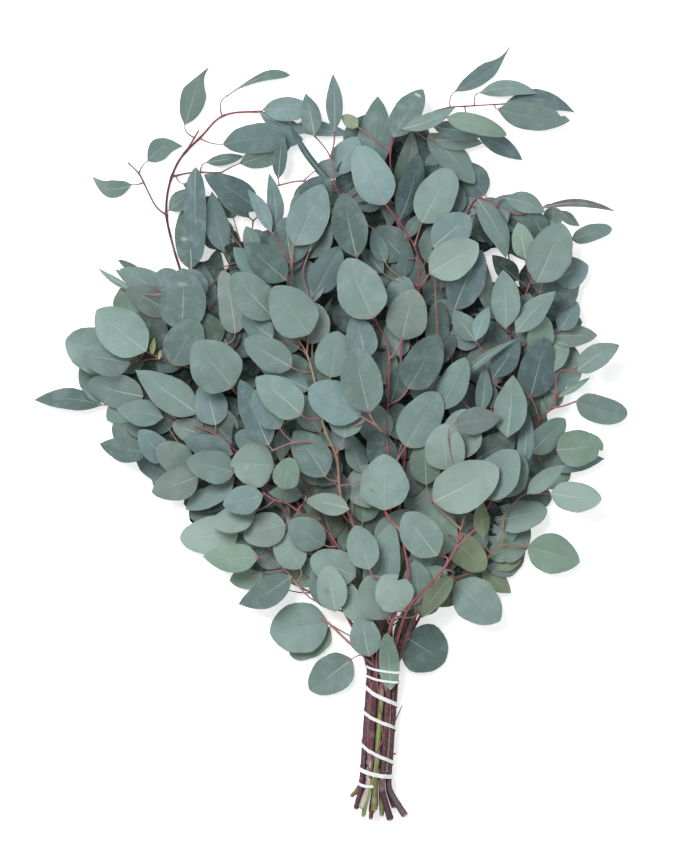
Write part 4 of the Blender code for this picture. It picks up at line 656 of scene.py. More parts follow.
def lay_out():
    """Place every stem, twig, stalk and blade; returns one record for each leafy stem."""
    pile = Pile()
    rng = random.Random(41)
    hidden_paths = {}
    for stem in STEMS:
        if stem.get("hidden"):
            path = [bundle_point(slot_place(stem["slot"])[0], True)] + stem["path"]
            stem["twigs"] = hidden_twigs(path, rng)
            hidden_paths[stem["name"]] = [smooth_path(line) for line in [path] + stem["twigs"]]
    given = hidden_leaves(hidden_paths, rng)
    laid = []
    for number, stem in enumerate(STEMS):
        rng = random.Random(900 + number)
        hidden = stem.get("hidden", False)
        before = pile.top.copy()
        under, over = stem.get("under", []), stem.get("leaves", [])
        if hidden:
            under, over = given[stem["name"]][0::2], given[stem["name"]][1::2]
        leaves = [make_leaf(pile, before, spec, rng, hidden) for spec in under]

        wood, sizes = woody_stem(pile, stem)
        pile.stems.append((wood, STEM_RADIUS))
        skeleton = Skeleton()
        skeleton.add(wood[2:], STEM_RADIUS, skip_below=-176)
        rods = [dict(kind="stem", points=wood, sizes=sizes)]
        pile.lay_rod(wood, STEM_RADIUS, stem=True)

        def keep_twig(points, first_radius):
            """Note a twig, from its first radius to a thinner end."""
            sizes = np.linspace(first_radius, TWIG_RADIUS * 0.85, len(points))
            rods.append(dict(kind="twig", points=points, sizes=sizes))
            skeleton.add(points, TWIG_RADIUS)
            pile.lay_rod(points, TWIG_RADIUS)

        for twig in stem.get("twigs", []):
            root = skeleton.root_for(*twig[0], forward=0.0)
            xy = smooth_path([(root[0], root[1])] + list(twig[1:]))
            below = np.maximum(before, pile.blades)
            keep_twig(drape(pile, below, xy, TWIG_RADIUS, root[2]), TWIG_RADIUS * 1.1)

        leaves += [make_leaf(pile, before, spec, rng, hidden) for spec in over]
        for leaf in leaves:
            lay_stalk(pile, before, skeleton, leaf, None if hidden else keep_twig)
        laid.append(dict(name=stem["name"], hidden=hidden, rods=rods, leaves=leaves))
    return laid


# The photograph's frame on the table, and the camera's sensor, in millimetres
VIEW_CENTRE = (15.6, 6.0)
VIEW_HEIGHT = 684.0
MIDDLE_HEIGHT = 30.0
SENSOR = 36.0


# Colour and node helpers
def hex_colour(code):
    """Linear red, green, blue and alpha of an sRGB hex colour."""
    parts = [int(code[i:i + 2], 16) / 255 for i in (1, 3, 5)]
    linear = [c / 12.92 if c <= 0.04045 else ((c + 0.055) / 1.055) ** 2.4 for c in parts]
    return (*linear, 1.0)


def mixed(a, b, share):
    """A colour between two linear colours."""
    return tuple(p + (q - p) * share for p, q in zip(a, b))


def towards(colours, other, share):
    """Colours mixed towards another one by a share, or by a share for each row."""
    return colours * (1 - share) + np.array(other[:3]) * share


def add_node(tree, kind, inputs=(), **settings):
    """Add a node with its settings, fill or link its inputs, and return its outputs."""
    node = tree.nodes.new("ShaderNode" + kind)
    for key, value in settings.items():
        setattr(node, key, value)
    for key, value in inputs.items() if isinstance(inputs, dict) else enumerate(inputs):
        if isinstance(value, bpy.types.NodeSocket):
            tree.links.new(value, node.inputs[key])
        else:
            node.inputs[key].default_value = value
    return node.outputs


def new_material(name, *carried):
    """An empty node material, add_node for its tree, and what its mesh points carry by name."""
    material = bpy.data.materials.new(name)
    material.use_nodes = True
    tree = material.node_tree
    tree.nodes.clear()
    read = [add_node(tree, "Attribute", attribute_name=layer) for layer in carried]
    return material, partial(add_node, tree), *(outputs["Color" if layer == "tint" else "Vector"]
                                                for layer, outputs in zip(carried, read))


def finish_material(material, colour, layers, surface, bump=None):
    """Mix colours into the first, one after another, and end the tree with its surface.

    A layer is its colour and its share, or a value with the limits between which the share
    goes smoothly from one amount to another. A bump is its height, strength and depth.
    """
    tree = material.node_tree
    for code, share, *limits in layers:
        if limits:
            share = add_node(tree, "MapRange", [share, *limits], **SMOOTH)[0]
        colour = add_node(tree, "Mix", {0: share, 6: colour, 7: hex_colour(code)}, data_type="RGBA")[2]
    if bump:
        bump = dict(zip(("Height", "Strength", "Distance"), bump))
        surface["Normal"] = add_node(tree, "Bump", bump)[0]
    shader = add_node(tree, "BsdfPrincipled", {"Base Color": colour, **surface})
    add_node(tree, "OutputMaterial", {"Surface": shader[0]})
    return material


WHITE = (1.0, 1.0, 1.0, 1.0)
TABLE_GLOW = 0.5
SMOOTH = dict(interpolation_type="SMOOTHSTEP")


# Materials, each from what the real surface is
def glaucous_leaf_blade(name="glaucous_leaf_blade", roughness=0.56, gloss=0.35):
    """Living leaf with a waxy bloom: matte grey-green, pale rib, fine side veins, a few specks.

    A lower leaf darkened with painted shade uses a duller, rougher copy with little gloss, which keeps
    its painted shade dark.
    """
    material, node, tint, place, share = new_material(name, "tint", "place", "share")
    along, sideways, _ = node("SeparateXYZ", [place])
    part_along, part_across, paleness = node("SeparateXYZ", [share])
    across = node("Math", [sideways], operation="ABSOLUTE")[0]

    # the midrib is 0.8 mm wide at the base and fades out three quarters of the way
    width = node("MapRange", [part_along, 0.0, 0.85, 0.5, 0.18], **SMOOTH)[0]
    rib = node("Math", [across, width], operation="DIVIDE")[0]
    rib = node("MapRange", [rib, 0.55, 1.25, 1.0, 0.0], **SMOOTH)[0]
    fade = node("MapRange", [part_along, 0.5, 0.86, 1.0, 0.0], **SMOOTH)[0]
    for factor in (fade, paleness):
        rib = node("Math", [rib, factor], operation="MULTIPLY")[0]

    # side veins leave the rib every 3.4 mm, barely lighter than the blade and never straight
    stray = node("TexNoise", {"Vector": place, "Scale": 0.16, "Detail": 2.0})["Fac"]
    vein = node("Math", [across, -VEIN_SLANT, along], operation="MULTIPLY_ADD")[0]
    vein = node("Math", [stray, 7.0, vein], operation="MULTIPLY_ADD")[0]
    for operation, *values in (("DIVIDE", VEIN_PITCH), ("FRACT",), ("SUBTRACT", 0.5), ("ABSOLUTE",)):
        vein = node("Math", [vein, *values], operation=operation)[0]
    vein = node("MapRange", [vein, 0.03, 0.11, 1.0, 0.0], **SMOOTH)[0]
    margin = node("Math", [part_across], operation="ABSOLUTE")[0]
    margin = node("MapRange", [margin, 0.3, 0.95, 1.0, 0.25], **SMOOTH)[0]
    vein = node("Math", [vein, margin], operation="MULTIPLY")[0]

    # blotches of bloom, a fine grain, and specks on about half of the 6 mm cells
    blotch = node("TexNoise", {"Vector": place, "Scale": 0.11, "Detail": 4.0, "Roughness": 0.6})["Fac"]
    grain = node("TexNoise", {"Vector": place, "Scale": 1.1, "Detail": 3.0, "Roughness": 0.65})["Fac"]
    cells = node("TexVoronoi", {"Vector": place, "Scale": 0.16})
    speck = node("MapRange", [cells["Distance"], 0.035, 0.075, 1.0, 0.0], **SMOOTH)[0]
    pick = node("SeparateColor", [cells["Color"]])[0]
    pick = node("MapRange", [pick, 0.52, 0.6, 0.0, 1.0], **SMOOTH)[0]
    for factor in (pick, 0.6):
        speck = node("Math", [speck, factor], operation="MULTIPLY")[0]

    layers = [("#9BB2B1", blotch, 0.42, 0.72, 0.0, 0.24), ("#6F8A72", blotch, 0.26, 0.44, 0.22, 0.0),
              ("#46564F", grain, 0.3, 0.7, 0.14, 0.0),
              ("#A9BCAF", node("Math", [vein, 0.07], operation="MULTIPLY")[0]),
              ("#BCCDC2", rib), ("#4F4338", speck)]
    height = node("Math", [vein, -0.12], operation="MULTIPLY")[0]
    height = node("Math", [grain, 0.5, height], operation="MULTIPLY_ADD")[0]
    surface = {"Roughness": roughness, "IOR": 1.45, "Specular IOR Level": gloss}
    return finish_material(material, tint, layers, surface, (height, 0.35, 0.0002))


def young_twig_skin():
    """Smooth skin of this year's twigs and leaf stalks: red to straw, faintly glossy."""
    material, node, tint, place = new_material("young_twig_skin", "tint", "place")
    grain = node("TexNoise", {"Vector": place, "Scale": 0.5, "Detail": 4.0})["Fac"]
    return finish_material(material, tint, [("#7C8F76", grain, 0.35, 0.7, 0.0, 0.35)],
                           {"Roughness": 0.45, "IOR": 1.45}, (grain, 0.3, 0.0002))


def smooth_woody_bark():
    """Bark of last year's wood: matte, streaked along the stem, with pale pores."""
    material, node, tint, place = new_material("smooth_woody_bark", "tint", "place")
    stretched = node("VectorMath", [place, (0.07, 0.9, 0.9)], operation="MULTIPLY")[0]
    streak = node("TexNoise", {"Vector": stretched, "Scale": 1.0, "Detail": 5.0,
                               "Roughness": 0.7})["Fac"]
    patch = node("TexNoise", {"Vector": place, "Scale": 0.06, "Detail": 2.0})["Fac"]
    pores = node("TexVoronoi", {"Vector": place, "Scale": 0.32})["Distance"]
    layers = [("#4A3A33", streak, 0.42, 0.66, 0.0, 0.55), ("#B4AE9F", patch, 0.56, 0.72, 0.0, 0.35),
              ("#BFB39C", pores, 0.08, 0.16, 0.5, 0.0)]
    return finish_material(material, tint, layers, {"Roughness": 0.7, "IOR": 1.45},
                           (streak, 0.6, 0.0004))


def fresh_cut_wood():
    """Cut end of a stem: pale, fibrous, a darker pith, with fine rings 0.5 mm apart."""
    material, node, place = new_material("fresh_cut_wood", "place")
    out = node("SeparateXYZ", [place])[0]
    ring = node("Math", [out, 2 * math.pi / 0.5], operation="MULTIPLY")[0]
    ring = node("Math", [ring], operation="SINE")[0]
    grain = node("TexNoise", {"Vector": place, "Scale": 1.6, "Detail": 4.0})["Fac"]
    layers = [("#B49F7E", ring, -0.4, 1.0, 0.0, 0.5), ("#8D7458", out, 0.25, 0.6, 0.8, 0.0),
              ("#97805F", grain, 0.5, 0.75, 0.0, 0.5)]
    return finish_material(material, hex_colour("#DDD3BC"), layers, {"Roughness": 0.85},
                           (grain, 0.5, 0.0003))


def braided_white_elastic():
    """Flat braided elastic: white, matte, with ribs along it and a weave across, 0.7 mm apart."""
    material, node, place = new_material("braided_white_elastic", "place")
    along, across, _ = node("SeparateXYZ", [place])
    rib = node("Math", [across, 2 * math.pi / 0.7], operation="MULTIPLY")[0]
    rib = node("Math", [rib], operation="SINE")[0]
    weave = node("Math", [rib, 0.12, along], operation="MULTIPLY_ADD")[0]
    weave = node("Math", [weave, 2 * math.pi / 0.7], operation="MULTIPLY")[0]
    weave = node("Math", [weave], operation="SINE")[0]
    height = node("Math", [weave, 0.7, rib], operation="MULTIPLY_ADD")[0]
    # the hollows of the weave are painted light grey as shade
    return finish_material(material, hex_colour("#FAFBFD"), [("#D3D4D8", height, -0.4, -1.5, 0.0, 0.7)],
                           {"Roughness": 0.8, "Sheen Weight": 0.2}, (height, 0.5, 0.0002))


def white_table_paint():
    """Matt white table top of a packshot, lit a little from below so that shadows stay faint."""
    material, node = new_material("white_table_paint")
    where = node("TexCoord")["Object"]
    grain = node("TexNoise", {"Vector": where, "Scale": 90.0, "Detail": 3.0})["Fac"]
    return finish_material(material, WHITE, [("#FAFAFA", grain)], {
        "Roughness": 0.9, "Emission Color": WHITE, "Emission Strength": TABLE_GLOW})


# Leaf colours by letter: l light, m middle, d dark, b bluish, k dark blue, o olive, g green,
# w warm grey, r brownish, n nearly black (painted shade for leaves deep in the pile), y yellow-green
LEAF_COLOURS = {
    "l": "#91A7A0", "m": "#7B928C", "d": "#5C726E", "b": "#778F90", "k": "#566C70",
    "o": "#7F8E70", "g": "#7C9687", "w": "#7E8E89", "r": "#6E6F6B", "n": "#3A4846",
    "y": "#A9B06E",
}
UNDERSIDE = "#93A398"
# colour of the painted shade that darkens leaves lying deep in the pile
DEEP_SHADE = "#151D1C"
RIM_RED = "#8A5A52"
PALE_STALK = "#A3A88A"
# share of painted shade on the leaves over the last gaps
DEEPEST_FILL = 0.94        # how dark the leaves over the last gaps are

# Colour letter of single leaves that stand out, each named by the place of its blade's base
LEAF_TONES = {
    "k": [(-58, 180), (-49, -8), (118, 241), (140, 266), (-108, 214), (99, 100), (161, 30), (160, 30),
    (130, 46), (82, 247)],
    "m": [(134, 261), (-117, 249), (-73, 218), (78, 242), (73, 170), (165, 122), (197, 27), (34, 93),
    (-17, 80), (-45, 93), (31, 18), (-78, 38), (-147, 67), (-130, 112), (-106, 17), (-150, 31),
    (-2, -151), (17, -180), (31, -177), (101, -118), (43, -60), (60, -9), (31, -107), (20, -113),
    (197, 51), (194, 157), (57, 244), (140, 190), (118, 189), (-147, 220), (-160, 201), (161, -14),
    (137, -88), (26, -31)],
    "o": [(122, -82), (22, 247), (-7, 89), (98, -112)],
    "l": [(157, -47), (79, 129), (176, -47), (-45, -24), (59, -139), (82, -53), (93, -28), (4, -141),
    (-74, -78)],
    "g": [(156, 141), (-38, -43), (181, -12), (158, -90), (183, 31), (93, 253), (49, -180)],
    "d": [(-112, 133), (28, 205), (50, 238), (-119, 84), (-126, 56), (-183, 24), (60, -162), (-84, 272),
    (-130, 180), (-146, -14), (-31, -113)],
    "b": [(-86, 233), (-54, 261), (44, 184), (82, 150), (-28, 151), (88, 118), (24, 15), (-85, 146),
    (194, 130), (180, 125)],
    "y": [(-137, 61), (-143, 64)],
    "r": [(170, 182)],
    "w": [(15, -59), (-76, 81), (82, 236), (-65, 174), (132, 94)],
    "n": [(118, 180), (151, 124)],
}

# Skin of a stem's twigs and stalks, and its bark: how far up the bunch, and the colour there
STEM_COLOURS = {
    "leafy_stem_04": ("#6E3446", [(-291, "#86894C"), (-262, "#5F4A3C"), (-190, "#5A3040"),
    (-60, "#7A3B4A"), (110, "#7A4A4C"), (150, "#56263A"), (225, "#5E283C"), (262, "#983E52")]),
    "leafy_stem_06": ("#9C5866", [(-304, "#7A5A4A"), (-240, "#55303E"), (-120, "#8C4652"),
    (60, "#A4586A"), (266, "#8F4356")]),
    "leafy_stem_07": ("#9E5666", [(-303, "#6B4A48"), (-200, "#5A2D3E"), (-100, "#9A4A58"),
    (124, "#8E3D50")]),
    "leafy_stem_08": ("#A86470", [(-300, "#6B4A50"), (-200, "#5A2D3E"), (-100, "#A0505E"),
    (53, "#B06070")]),
    "leafy_stem_09": ("#A86A74", [(-301, "#6B3A4C"), (-200, "#64304A"), (-130, "#8B4550"),
    (13, "#A0606A")]),
    "leafy_stem_10": ("#9E7470", [(-307, "#8E9C58"), (-266, "#75703F"), (-230, "#4F2A38"),
    (-100, "#8A5A58"), (60, "#8A6458")]),
    "leafy_stem_11": ("#AC7A7E", [(-309, "#8C4A3C"), (-262, "#6A3038"), (-190, "#7C3F44"),
    (-120, "#A4666E"), (-40, "#AC7678"), (10, "#A99E74"), (90, "#A58A78"), (160, "#9C5F66")]),
    "leafy_stem_12": ("#A25A66", [(-306, "#93A062"), (-262, "#7E8A50"), (-215, "#A08A6A"),
    (-120, "#A8606A"), (184, "#9E4A5C")]),
    "leafy_stem_13": ("#A86E76", [(-306, "#77656E"), (-262, "#5C3A48"), (-200, "#5F2C40"),
    (-120, "#A5606A"), (-88, "#B07A6A")]),
    "leafy_stem_14": ("#B0727A", [(-300, "#CFC9BC"), (-266, "#C9C1B0"), (-258, "#7A4456"),
    (-220, "#5E2A3E"), (-170, "#7E4450"), (-46, "#B0707A")]),
    "leafy_stem_15": ("#AC6A74", [(-302, "#8B8A55"), (-268, "#7A8048"), (-252, "#8FA35E"),
    (-214, "#93A562"), (-204, "#7A4A44"), (-120, "#A6585F"), (88, "#B0606A")]),
    "leafy_stem_16": ("#AC6A76", [(-310, "#5A3346"), (-262, "#5F2C42"), (-200, "#6B3348"),
    (-130, "#9A4A5A"), (-62, "#B56A74")]),
}
PLAIN_BARK = [(-300, "#6E5247"), (-200, "#532C3A"), (200, "#6B4A48")]

PLAIN_TWIG = "#7B4A4C"
STRAW = "#B5A272"
STALK_SIZES = (0.62, 0.42)  # a drawn leaf stalk's radius at the twig and at the blade
SMALL_GRID = (14, 8)        # grid rows and columns of a small or dark blade
# share of painted shade on a leaf that lies under its own stem
UNDER_SHADE = 0.06          # how dark a leaf is that lies under its own stem


# The leaf that the elastic holds is drawn whole, in place of the half of it that is free
UNDER_ELASTIC = (49, -180)


def named_place(leaf):
    """Place of a blade's base in whole millimetres, by which single leaves are named."""
    return tuple(int(round(c)) for c in leaf["base"])


class PieceMesh:
    """Gathers groups of points, faces, material slots and colours, and makes one mesh of them."""

    def __init__(self):
        self.groups, self.faces, self.count = [], [], 0

    def add(self, points, faces, slot, tint, place, share):
        """Add a group of points with its faces, all of one slot."""
        self.groups.append((points, tint, place, share))
        self.faces += [(group + self.count, slot) for group in faces]
        self.count += len(points)

    def make(self, name, materials):
        """Turn what was gathered into an object."""
        points, tint, place, share = (np.concatenate(column) for column in zip(*self.groups))
        points = points * MM
        points[:, 2] = np.maximum(points[:, 2], 0.0)
        corners = np.concatenate([g.ravel() for g, _ in self.faces]).astype(np.int32)
        sizes = np.concatenate([np.full(len(g), g.shape[1]) for g, _ in self.faces])
        slots = np.concatenate([np.full(len(g), slot, np.int32) for g, slot in self.faces])
        starts = np.concatenate([[0], np.cumsum(sizes)[:-1]]).astype(np.int32)
        mesh = bpy.data.meshes.new(name)
        mesh.vertices.add(len(points))
        mesh.vertices.foreach_set("co", points.astype(np.float32).ravel())
        mesh.loops.add(len(corners))
        mesh.loops.foreach_set("vertex_index", corners)
        mesh.polygons.add(len(sizes))
        mesh.polygons.foreach_set("loop_start", starts)
        mesh.polygons.foreach_set("material_index", slots)
        mesh.update(calc_edges=True)
        mesh.validate()
        mesh.polygons.foreach_set("use_smooth", np.ones(len(mesh.polygons), bool))
        mesh.set_sharp_from_angle(angle=math.radians(50))
        for label, kind, field, values in (("tint", "FLOAT_COLOR", "color", tint),
                                           ("place", "FLOAT_VECTOR", "vector", place),
                                           ("share", "FLOAT_VECTOR", "vector", share)):
            layer = mesh.attributes.new(label, kind, "POINT")
            layer.data.foreach_set(field, values.astype(np.float32).ravel())
        for material in materials:
            mesh.materials.append(material)
        obj = bpy.data.objects.new(name, mesh)
        bpy.context.scene.collection.objects.link(obj)
        return obj


# Blemishes seen on single leaves, each named by the place of its blade's base
BLEMISHES = {
    (-45, -24): dict(tear=(0.93, 1, 0.6, 0.035), scar=(0.62, 0.15, 0.06, 0.2, "#A9B6AB")),
    (59, -139): dict(tear=(0.7, -1, 0.45, 0.08)),
    (134, 261): dict(tear=(0.86, 1, 0.5, 0.06), bend=-0.03),
    (140, 266): dict(bend=0.12, half=1.2),
    (120, 275): dict(bend=0.07, half=1.3, sweep=-2.0),
    (93, 253): dict(bend=0.03, q=0.5),
    (140, 190): dict(bend=0.07),
    (118, 189): dict(bend=0.03, sweep=-3.0, half=1.1),
    (197, 27): dict(q=0.4, p=0.85, bend=-0.04),
    (197, 51): dict(bend=0.05, curl=2.0),
    (161, -14): dict(q=0.5),
    (194, 157): dict(q=0.4, bend=0.03),
    (-160, 201): dict(bend=0.14, half=1.3, sweep=-5.0),
    (-118, 201): dict(lift=-9.0),
    (60, -162): dict(long=1.14, half=1.1, q=0.5),
    (48, -204): dict(ramp=24.0, fold=0.0, q=0.5),
    (181, -12): dict(tear=(0.9, -1, 0.6, 0.05)),
    (-130, 112): dict(tear=(0.35, 1, 0.3, 0.12)),
    (4, -141): dict(scar=(0.45, 0.35, 0.08, 0.16, "#76705E")),
    (-112, 133): dict(scar=(0.5, 0.35, 0.045, 0.2, "#C6CAC0"), half=1.25),
    (50, 238): dict(scar=(0.86, 0.1, 0.022, 0.5, "#E0E4DC")),
    (-76, 81): dict(p=0.62, q=0.42),
    (-119, 84): dict(lift=5.0, scar=(0.75, 0.1, 0.03, 0.35, "#9BA99E")),
    (-108, 214): dict(q=0.42, half=1.3, bend=-0.02),
    (43, -60): dict(scar=(0.35, 0.5, 0.03, 0.08, "#5A4C42")),
    (-117, 249): dict(tip=3.0, sweep=-7.0, thin=0.55),
    (100, 276): dict(tip=3.0, sweep=5.0, thin=0.7, bend=-0.03),
    (-31, -113): dict(tip=2.5, sweep=-3.0),
    (98, -112): dict(tip=-4.0, curl=2.5),
    (-84, 272): dict(bend=0.06, p=2.7, q=0.6, sweep=-4.0),
    (3, 200): dict(bend=0.06),
    (-147, 220): dict(bend=0.1, sweep=-5.0, half=1.15),
    (170, 182): dict(bend=0.09, half=1.1),
}


# Places inside the bunch where the photograph shows the table: x, y and radius
OPEN_PLACES = [(-73, 168, 6), (-53, 171, 6), (-36, 186, 5), (-98, 145, 4), (-86, 139, 4),
               (123, 140, 5), (121, 130, 4), (133, 147, 4), (150, 137, 5), (148, 127, 4)]


class SeenFromAbove:
    """What shows from above, cell by cell: the height there, and whether it is a placed leaf.

    Open cells are where the photograph shows the table, and sure ones are well within a leaf.
    """
    WIDE, LONG = 260, 330

    def __init__(self):
        self.x = np.arange(-self.WIDE, self.WIDE, CELL)
        self.y = np.arange(-self.LONG, self.LONG, CELL)
        self.height = np.zeros((len(self.x), len(self.y)))
        self.placed, self.open, self.sure = (np.zeros(self.height.shape, bool) for _ in range(3))
        for x, y, radius in OPEN_PLACES:
            far = np.hypot(self.x[:, None] - x, self.y[None, :] - y)
            self.open |= far < radius

    def footprint(self, leaf, inset=0.0):
        """Cells under a leaf, or well within it, and the leaf's height over them."""
        far = leaf["length"] + leaf["half"]
        i = np.nonzero(np.abs(self.x - leaf["base"][0]) < far)[0]
        j = np.nonzero(np.abs(self.y - leaf["base"][1]) < far)[0]
        i, j = [a.ravel() for a in np.meshgrid(i, j, indexing="ij")]
        within, s, t = over_blade(leaf, self.x[i], self.y[j], -inset)
        return i[within], j[within], blade_height(leaf, s[within], t[within])

    def shuts(self, leaf):
        """Whether a leaf would cover a place where the table shows."""
        i, j, _ = self.footprint(leaf)
        return bool(self.open[i, j].any())

    def show(self, leaf, placed):
        """Add a leaf to what shows."""
        i, j, z = self.footprint(leaf)
        higher = z > self.height[i, j]
        self.height[i[higher], j[higher]] = z[higher]
        self.placed[i[higher], j[higher]] = placed
        i, j, _ = self.footprint(leaf, 2.0)
        self.sure[i, j] = True


def grow(laid, number, seen, leaf, root, middle, sag, placed):
    """Add a leaf to a stem, with a stalk from its root by way of a place between."""
    ends = np.array([[*root], [*middle, (root[2] + leaf["z"]) / 2 - sag], [*leaf["base"], leaf["z"]]])
    leaf["stalk"] = refined(ends, [1, 1, 1], 2.0)[0]
    seen.show(leaf, placed)
    laid[number]["leaves"].append(leaf)


def lower_leaves(laid, seen, count, rng, deepest=False):
    """Leaves of the middle layers, which the photograph shows through the gaps.

    A candidate grows from a twig or stem, a little lower than what is round it. It is kept
    where it closes a gap and barely covers a leaf that is already there. The deepest ones
    grow from the hidden stems and close what is still open down to the table.
    """
    roots = [(number, p) for number, record in enumerate(laid) if record["hidden"] == deepest
             for rod in record["rods"] for p in rod["points"][2:] if p[1] > LEAVES_FROM]
    most_covered, least_closed = (0.25, 0.05) if deepest else (0.1, 0.22)
    kept = 0
    for _ in range(count * 60):
        number, root = rng.choice(roots)
        if kept >= count:
            break
        angle = rng.uniform(-1.25, 1.25) + math.atan2(root[1] + 220.0, root[0] - 30.0)
        reach = rng.uniform(6.0, 40.0 if deepest else 26.0)
        base = (root[0] + math.cos(angle) * reach * 0.8 + rng.uniform(-6, 6),
                root[1] + math.sin(angle) * reach * 0.8 + rng.uniform(-6, 6))
        turn = angle + rng.uniform(-0.5, 0.5)
        ux, uy = math.cos(turn), math.sin(turn)
        length = rng.uniform(26.0, 42.0)
        half = length * rng.uniform(0.3, 0.44)
        middle = (base[0] + ux * length * 0.6, base[1] + uy * length * 0.6)
        tip = (base[0] + ux * length, base[1] + uy * length)
        drop = rng.uniform(3.0, 9.0)
        seed = rng.randrange(10 ** 6)
        if not (inside(*middle, OUTLINE) and inside(*tip, OUTLINE)):
            continue
        # fill is the share of painted shade: full for the deepest leaves, partial for the middle layers
        leaf = dict(base=base, along=(ux, uy), length=length, half=half, p=rng.uniform(0.74, 0.9),
                    q=rng.uniform(0.58, 0.7), z=max(root[2] - drop, 3.0 + 0.12 * length),
                    rise=rng.uniform(-0.12, 0.1), roll=rng.uniform(-0.22, 0.22),
                    arch=rng.uniform(0.0, 1.5), cup=rng.uniform(-0.8, 0.8), seed=seed,
                    fill=DEEPEST_FILL if deepest else rng.uniform(0.12, 0.72) ** 1.2)
        i, j, z = seen.footprint(leaf)
        if len(z) == 0 or z.min() < 1.0 or seen.shuts(leaf):
            continue
        shows = z > seen.height[i, j]
        covers = shows & seen.placed[i, j]
        closes = shows & ((seen.height[i, j] < 2.0) if deepest else ~seen.placed[i, j])
        if covers.mean() > most_covered or closes.mean() < least_closed:
            continue
        mid = (root[:2] + np.array(base)) / 2 + rng.uniform(-1.5, 1.5)
        grow(laid, number, seen, leaf, root, mid, 1.0, not deepest)
        kept += 1


def close_gaps(laid, seen, count, rng):
    """Leaves near the table, darkened with painted shade, each over a place where the table still shows.
    """
    roots = [(number, p) for number, record in enumerate(laid) if record["hidden"]
             for rod in record["rods"] for p in rod["points"][2:] if p[1] > -150
             and all(math.hypot(p[0] - x, p[1] - y) > 18.0 for x, y, _ in OPEN_PLACES)]
    places = np.array([p[:2] for _, p in roots])
    handicap = np.array([rng.uniform(0.0, 16.0) for _ in roots])
    spots = [(i, j) for i, j in np.argwhere(~seen.sure & ~seen.open).tolist()
             if outline_distance(seen.x[i], seen.y[j]) > 8.0]
    rng.shuffle(spots)
    kept = 0
    for i, j in spots * 3:
        if kept >= count:
            break
        if seen.sure[i, j]:
            continue
        away = np.array([seen.x[i], seen.y[j]]) - places
        nearest = int(np.argmin(np.hypot(away[:, 0], away[:, 1]) + np.roll(handicap, 37 * kept)))
        number, root = roots[nearest]
        far = math.hypot(*away[nearest])
        turn = math.atan2(away[nearest][1], away[nearest][0]) + rng.uniform(-0.3, 0.3)
        length = rng.uniform(24.0, 36.0)
        reach = max(4.0, far - length * rng.uniform(0.4, 0.6))
        ux, uy = math.cos(turn), math.sin(turn)
        base = (root[0] + ux * reach, root[1] + uy * reach)
        # a closing leaf carries the deepest painted shade
        leaf = dict(base=base, along=(ux, uy), length=length, half=length * 0.4, p=0.85, q=0.6,
                    z=3.0 + 0.12 * length + rng.uniform(0.0, 4.0), rise=rng.uniform(-0.03, 0.05),
                    roll=rng.uniform(-0.1, 0.1), arch=0.8, cup=0.4,
                    seed=rng.randrange(10 ** 6), fill=DEEPEST_FILL)
        tip = (base[0] + ux * length, base[1] + uy * length)
        if not inside(*tip, OUTLINE) or seen.shuts(leaf):
            continue
        grow(laid, number, seen, leaf, root, (root[:2] + np.array(base)) / 2, 0.0, False)
        kept += 1


